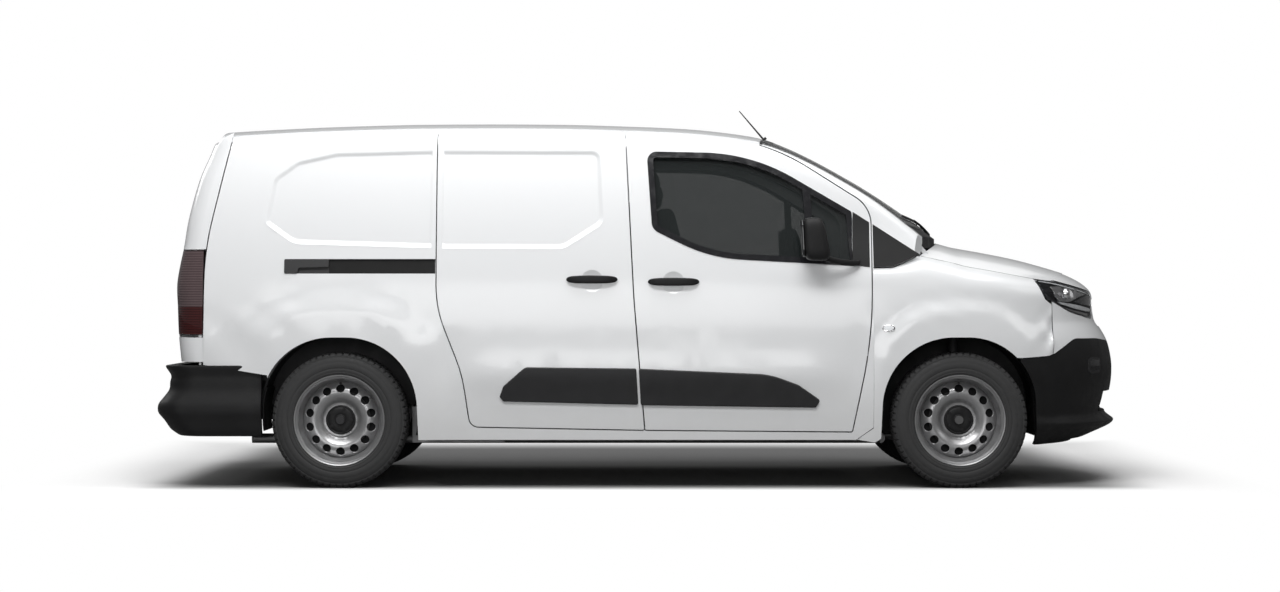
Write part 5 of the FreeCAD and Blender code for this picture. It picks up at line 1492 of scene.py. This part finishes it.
# %% [markdown]
# Behind and ahead of each rear wheel a black liner closes the arch, so that the light from below
# does not shine through. Each is a thin curved plate that follows the arch and sits inside it.

# %% Rear arch liners
ARCH_RADII = [(-14, 369), (0, 371), (30, 384), (150, 380), (176, 361), (196, 359)]


def arch_flap(name, axle_x, first, last):
    """A curved plate behind the arch's edge, from one angle to another."""
    stations = []
    for degrees in np.linspace(first, last, 15):
        reach = float(np.interp(degrees, *np.array(ARCH_RADII, float).T)) + 6
        c, s = math.cos(math.radians(degrees)), math.sin(math.radians(degrees))
        stations.append(((axle_x + reach * c, -722, 326 + reach * s), (0, 142, 0),
                         (3.2 * c, 0, 3.2 * s)))
    return lofted(name, stations, black_plastic, 24, 8.0)


flaps = [arch_flap("flap_ahead", -1477, -11, 24), arch_flap("flap_behind", -1477, 156, 188)]
flap_right = joined("arch_flaps_right", flaps)
flap_left = mirrored(flap_right, "arch_flaps_left")
for piece in (flap_right, flap_left):
    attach(piece, "root")
print("the rear arches are closed by", 2 * len(flaps), "curved plates")

# %% [markdown]
# Two upright rear doors close the tail. They carry a blank plate in its hollow, a pull handle
# beside it, and a narrow brake lamp over the middle. A small function gives the tail's curve, so
# that these sit on it.


# %% The tail's pieces
TAIL_END, TAIL_CORNER, TAIL_BOW = 2375, 105, 35
TAIL_LINE = [(560, 128), (604, 125), (736, 113), (871, 107), (973, 102), (1060, 113), (1156, 131),
             (1293, 150), (1486, 196), (1602, 241), (1671, 268), (1702, 295), (1745, 345)]


def tail_x(y, z):
    """Where the two doors' curved face lies, along the van."""
    back = along(z, TAIL_LINE) - TAIL_END
    half = side(back + TAIL_CORNER, z) - 0.913 * TAIL_CORNER
    return back - TAIL_BOW * (1 - (np.asarray(y, float) / half) ** 2)


def tail_place(s, t):
    s, t = np.asarray(s, float), np.asarray(t, float)
    return tail_x(-s, t), -s, t


def on_tail(y, z, stand):
    return (float(tail_x(y, z)) - stand, y, z)


blank_plate = panel("blank_plate", tail_place,
                    outline([(-505, 766, 12), (-505, 874, 12), (15, 874, 12), (15, 766, 12)]),
                    (), 30.0, 0.8, 8.4, 6.2, finish=white_paint)
plate_bar = lofted("plate_lamp_bar", [
    (on_tail(y, 905, 7), (11 * k, 0, 0), (0, 0, 15 * k))
    for y, k in zip(np.linspace(-6, 498, 23), [0.3, 0.85, 1] + [1] * 17 + [1, 0.85, 0.3])],
    black_plastic, 24, 3.6)
tail_handle = lofted("tail_handle", [
    (on_tail(-108, z, 4 + 16 * (1 - abs(u) ** 3)), (7 * k, 0, 0), (0, 17 * k, 0))
    for u, z, k in zip(np.linspace(-1, 1, 21), np.linspace(742, 906, 21),
                       [0.3, 0.8] + [1] * 17 + [0.8, 0.3])], black_plastic, 24, 3.4)
top_lamp = lofted("high_brake_lamp", [
    (on_tail(y, 1668, 2), (6 * k, 0, 0), (0, 0, 13 * k))
    for y, k in zip(np.linspace(-130, 130, 17), [0.3, 0.85] + [1] * 13 + [0.85, 0.3])],
    red_lens, 24, 3.6)
for piece in (blank_plate, plate_bar, tail_handle, top_lamp):
    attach(piece, "rear_door_left")
print("the tail has a plate", round(blank_plate.dimensions.y, 3), "m wide")

# %% [markdown]
# A rubber seal runs round each front door's opening, on the jamb behind the gap. It keeps the rain
# out. Its black also stands in for the shade inside the gap, a painted shade, so that the gap reads
# as a thin dark line on a white van.

# %% Door seals, partly painted shade
SEAL_DEPTH = 68
FRONT_DOOR = [(-10, 281, 6), (-62, 903, 2000), (-104, 1718, 15), (556, 1682, 1000),
              (1074, 1350, 150), (1070, 723, 2200), (980, 273, 6)]
seal_edge = outline(FRONT_DOOR, 20.0)
# The seal is partly painted shade: its black rubber darkens the door gap, where shade falls.
seal_and_gap_shade_right = panel("door_seal_right", side_surface(-1), along_side(grown(seal_edge, 5)),
                   [along_side(grown(seal_edge, -7))], 12.0, 0.8, SEAL_DEPTH + 0.4,
                   SEAL_DEPTH - 1.6, finish=tyre_rubber)
seal_and_gap_shade_left = mirrored(seal_and_gap_shade_right, "door_seal_left")
for piece in (seal_and_gap_shade_right, seal_and_gap_shade_left):
    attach(piece, "root")
print("the seals have", len(seal_and_gap_shade_right.data.polygons), "faces each")

# %% [markdown]
# Two seats stand in the cab. A seat's foam bulges under its cover, most in the middle of each
# field and least along the seams. We cut each pad a little small, remesh it evenly, and blow it
# up with the cloth solver. The seams and the sewn channels are pressed in afterwards.


# %% Seat pads
PAD_VOXEL, QUICK_VOXEL, PUFF_FRAMES = 0.006, 0.014, 20


def rounded_block(name, low, high, radius, finish):
    """A block with rounded edges, made from one bevelled cube."""
    made = bmesh.new()
    bmesh.ops.create_cube(made, size=1.0)
    for vertex in made.verts:
        for k in range(3):
            vertex.co[k] = (low[k] + high[k]) / 2 + vertex.co[k] * (high[k] - low[k])
    bmesh.ops.bevel(made, geom=made.edges[:], offset=radius, segments=5, profile=0.6,
                    affect="EDGES")
    mesh = bpy.data.meshes.new(name)
    made.to_mesh(mesh)
    made.free()
    mesh.transform(Matrix.Scale(0.001, 4))
    mesh.materials.append(finish.material)
    return placed(name, mesh)


def applied(piece):
    """The piece with its modifiers worked into its mesh."""
    ready = piece.evaluated_get(bpy.context.evaluated_depsgraph_get())
    mesh = bpy.data.meshes.new_from_object(ready)
    piece.modifiers.clear()
    piece.data = mesh
    return piece


def swollen(piece, pressure, cap):
    """The pad blown up as cloth, no point moving further than the cap in metres."""
    even = piece.modifiers.new("even", "REMESH")
    even.mode, even.voxel_size = "VOXEL", PAD_VOXEL
    applied(piece)
    before = np.array([v.co[:] for v in piece.data.vertices])
    puff = piece.modifiers.new("puff", "CLOTH")
    puff.settings.use_pressure = True
    puff.settings.uniform_pressure_force = pressure
    puff.settings.effector_weights.gravity = 0
    puff.settings.mass = 0.3
    puff.point_cache.frame_start, puff.point_cache.frame_end = 1, PUFF_FRAMES
    for frame_number in range(1, PUFF_FRAMES + 1):
        scene.frame_set(frame_number)
    applied(piece)
    scene.frame_set(1)
    after = np.array([v.co[:] for v in piece.data.vertices])
    way = after - before
    length = np.linalg.norm(way, axis=1)[:, None] + 1e-9
    return before + way * np.minimum(length, cap) / length


def sewn(piece, points, channels, border, depth):
    """Presses in sewn channels and a seam, given in the pad's own width and height."""
    low, high = points.min(0), points.max(0)
    middle = (low + high) / 2
    thin = int(np.argmin(high - low))
    across, up = [k for k in range(3) if k != thin]
    dip = np.zeros(len(points))
    for axis, place, reach in channels:
        other = across if axis == up else up
        near = np.exp(-((points[:, axis] - place) / 0.006) ** 2)
        hold = np.clip((reach - np.abs(points[:, other] - middle[other])) / 0.012, 0, 1)
        dip += near * hold
    front = np.sign(points[:, thin] - middle[thin])
    edge = (points[:, thin] - middle[thin]) / (high[thin] - low[thin]) * 2
    points[:, thin] -= front * np.clip(dip, 0, 1) * depth * (np.abs(edge) > 0.35)
    seam = np.exp(-((points[:, thin] - middle[thin] - border) / 0.004) ** 2)
    for k in (across, up):
        points[:, k] -= np.sign(points[:, k] - middle[k]) * seam * 0.0025 * (
            np.abs(points[:, k] - middle[k]) > 0.42 * (high[k] - low[k]))
    piece.data.vertices.foreach_set("co", points.ravel())
    smooth_pad = piece.modifiers.new("smooth", "SUBSURF")
    smooth_pad.levels = smooth_pad.render_levels = 1
    applied(piece)
    piece.data.polygons.foreach_set("use_smooth", [True] * len(piece.data.polygons))
    return piece


weave = seat_cloth.noise(620, 2)
seat_cloth.color(seat_cloth.blend(weave, rgb(0.026, 0.026, 0.029), rgb(0.080, 0.080, 0.086)))
seat_cloth.roughness(seat_cloth.step(weave, 0.3, 0.7, 0.82, 0.95))
seat_cloth.relief(weave, 0.5, 0.0006)

LEAN = Matrix.Translation((0.150, 0, 0.765)) @ Matrix.Rotation(math.radians(-14), 4, "Y")
SEAT_PADS = [
    ("cushion", (228, -232, 648), (722, 232, 752), 30, 0.011, [(1, -0.13, 0.2), (1, 0.13, 0.2),
                                                               (0, 0.30, 0.13)]),
    ("backrest", (9, -226, 8), (111, 226, 590), 28, 0.010, [(1, -0.13, 0.24), (1, 0.13, 0.24),
                                                            (2, 0.16, 0.13), (2, 0.44, 0.13)]),
    ("headrest", (7, -122, 620), (82, 122, 782), 26, 0.008, [(2, 0.70, 0.10)]),
]
for label, low, high, radius, cap, channels in SEAT_PADS:
    pad = rounded_block(f"{label}_right", low, high, radius, seat_cloth)
    points = swollen(pad, 4.0, cap)
    sewn(pad, points, channels, 0.018, 0.006)
    if label != "cushion":
        pad.data.transform(LEAN)
    twin = copied(pad, f"{label}_left", Matrix.Translation((0, 0.38, 0)))
    pad.data.transform(Matrix.Translation((0, -0.38, 0)))
    for piece in (pad, twin):
        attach(piece, "root")
        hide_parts("seat_pads")
    print(label, "has", len(pad.data.polygons), "faces")

# %% [markdown]
# Through the side glass the photograph shows the steering wheel. Its rim is a ring of soft
# plastic on three spokes, and the boss in the middle is a low padded cover. The wheel is made
# flat and then tilted into its place on the column.

# %% Steering wheel
WHEEL_SEAT = (Matrix.Translation((0.820, 0.380, 0.960))
              @ Matrix.Rotation(math.radians(-63), 4, "Y"))


def ring_section(turn, around):
    """A point of the rim: a little thicker at the two hand grips."""
    swell = 1 + 0.10 * math.exp(-((abs(math.sin(turn)) - 0.92) / 0.10) ** 2)
    far_out = 185 + 13.5 * swell * math.cos(around)
    return (far_out * math.cos(turn), far_out * math.sin(turn), 13.5 * swell * math.sin(around))


rim = mesh_piece("wheel_rim", [ring_section(2 * math.pi * i / 96, 2 * math.pi * k / 20)
                               for i in range(96) for k in range(20)],
                 grid_faces(96, 20), cab_plastic)
BOSS = [(-20, 0.86), (-17, 0.95), (4, 1.0), (14, 0.97), (20, 0.86), (23, 0.6), (24.5, 0.25)]
boss = lofted("wheel_boss", [((-8, 0, z), (0, 66 * k, 0), (60 * k, 0, 0)) for z, k in BOSS],
              cab_plastic, 40, 3.4)
wheel_parts = [rim, boss]
for turn_to in (90, 180, 270):
    c, s = math.cos(math.radians(turn_to)), math.sin(math.radians(turn_to))
    wheel_parts.append(lofted("wheel_spoke", [
        ((c * r, s * r, drop), (-s * wide, c * wide, 0), (0, 0, 6.5))
        for r, wide, drop in ((40, 27, 2), (90, 20, -3), (130, 16, -6), (165, 16, -5),
                              (184, 21, -1))], cab_plastic, 20, 3.0))
wheel_parts.append(lofted("wheel_column", [((0, 0, z), (r, 0, 0), (0, r, 0)) for z, r in
                                           ((-168, 25), (-60, 25), (-34, 24), (-18, 34))],
                          cab_plastic, 32, 2.2))
steering = joined("steering_wheel_dressed", wheel_parts)
steering.data.transform(WHEEL_SEAT)
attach(steering, "root")
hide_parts("steering_wheel")

crown = [max(1 - abs(u) ** 5, 0.0) ** 0.5 for u in np.linspace(-0.985, 0.985, 25)]
hood = lofted("instrument_hood", [((1012, y, 1074), (72 * k, 0, 0), (0, 0, 30 * k))
                                  for y, k in zip(np.linspace(232, 528, 25), crown)],
              cab_plastic, 28, 2.6)
display = rounded_block("centre_display", (912, -104, 944), (936, 104, 1066), 7, gloss_black)
vents = []
for y in (-690, -250, 250, 690):
    vents.append(rounded_block("vent_frame", (921, y - 62, 948), (932, y + 62, 1004), 5,
                               gloss_black))
    for k in range(4):
        z = 958 + 12 * k
        vents.append(rounded_block("vent_slat", (914, y - 52, z), (926, y + 52, z + 5), 2,
                                   cab_plastic))
vents = joined("dash_vents", vents)
for piece in (hood, display, vents):
    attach(piece, "root")
print("the cab has a wheel", round(steering.dimensions.y, 3), "m across")
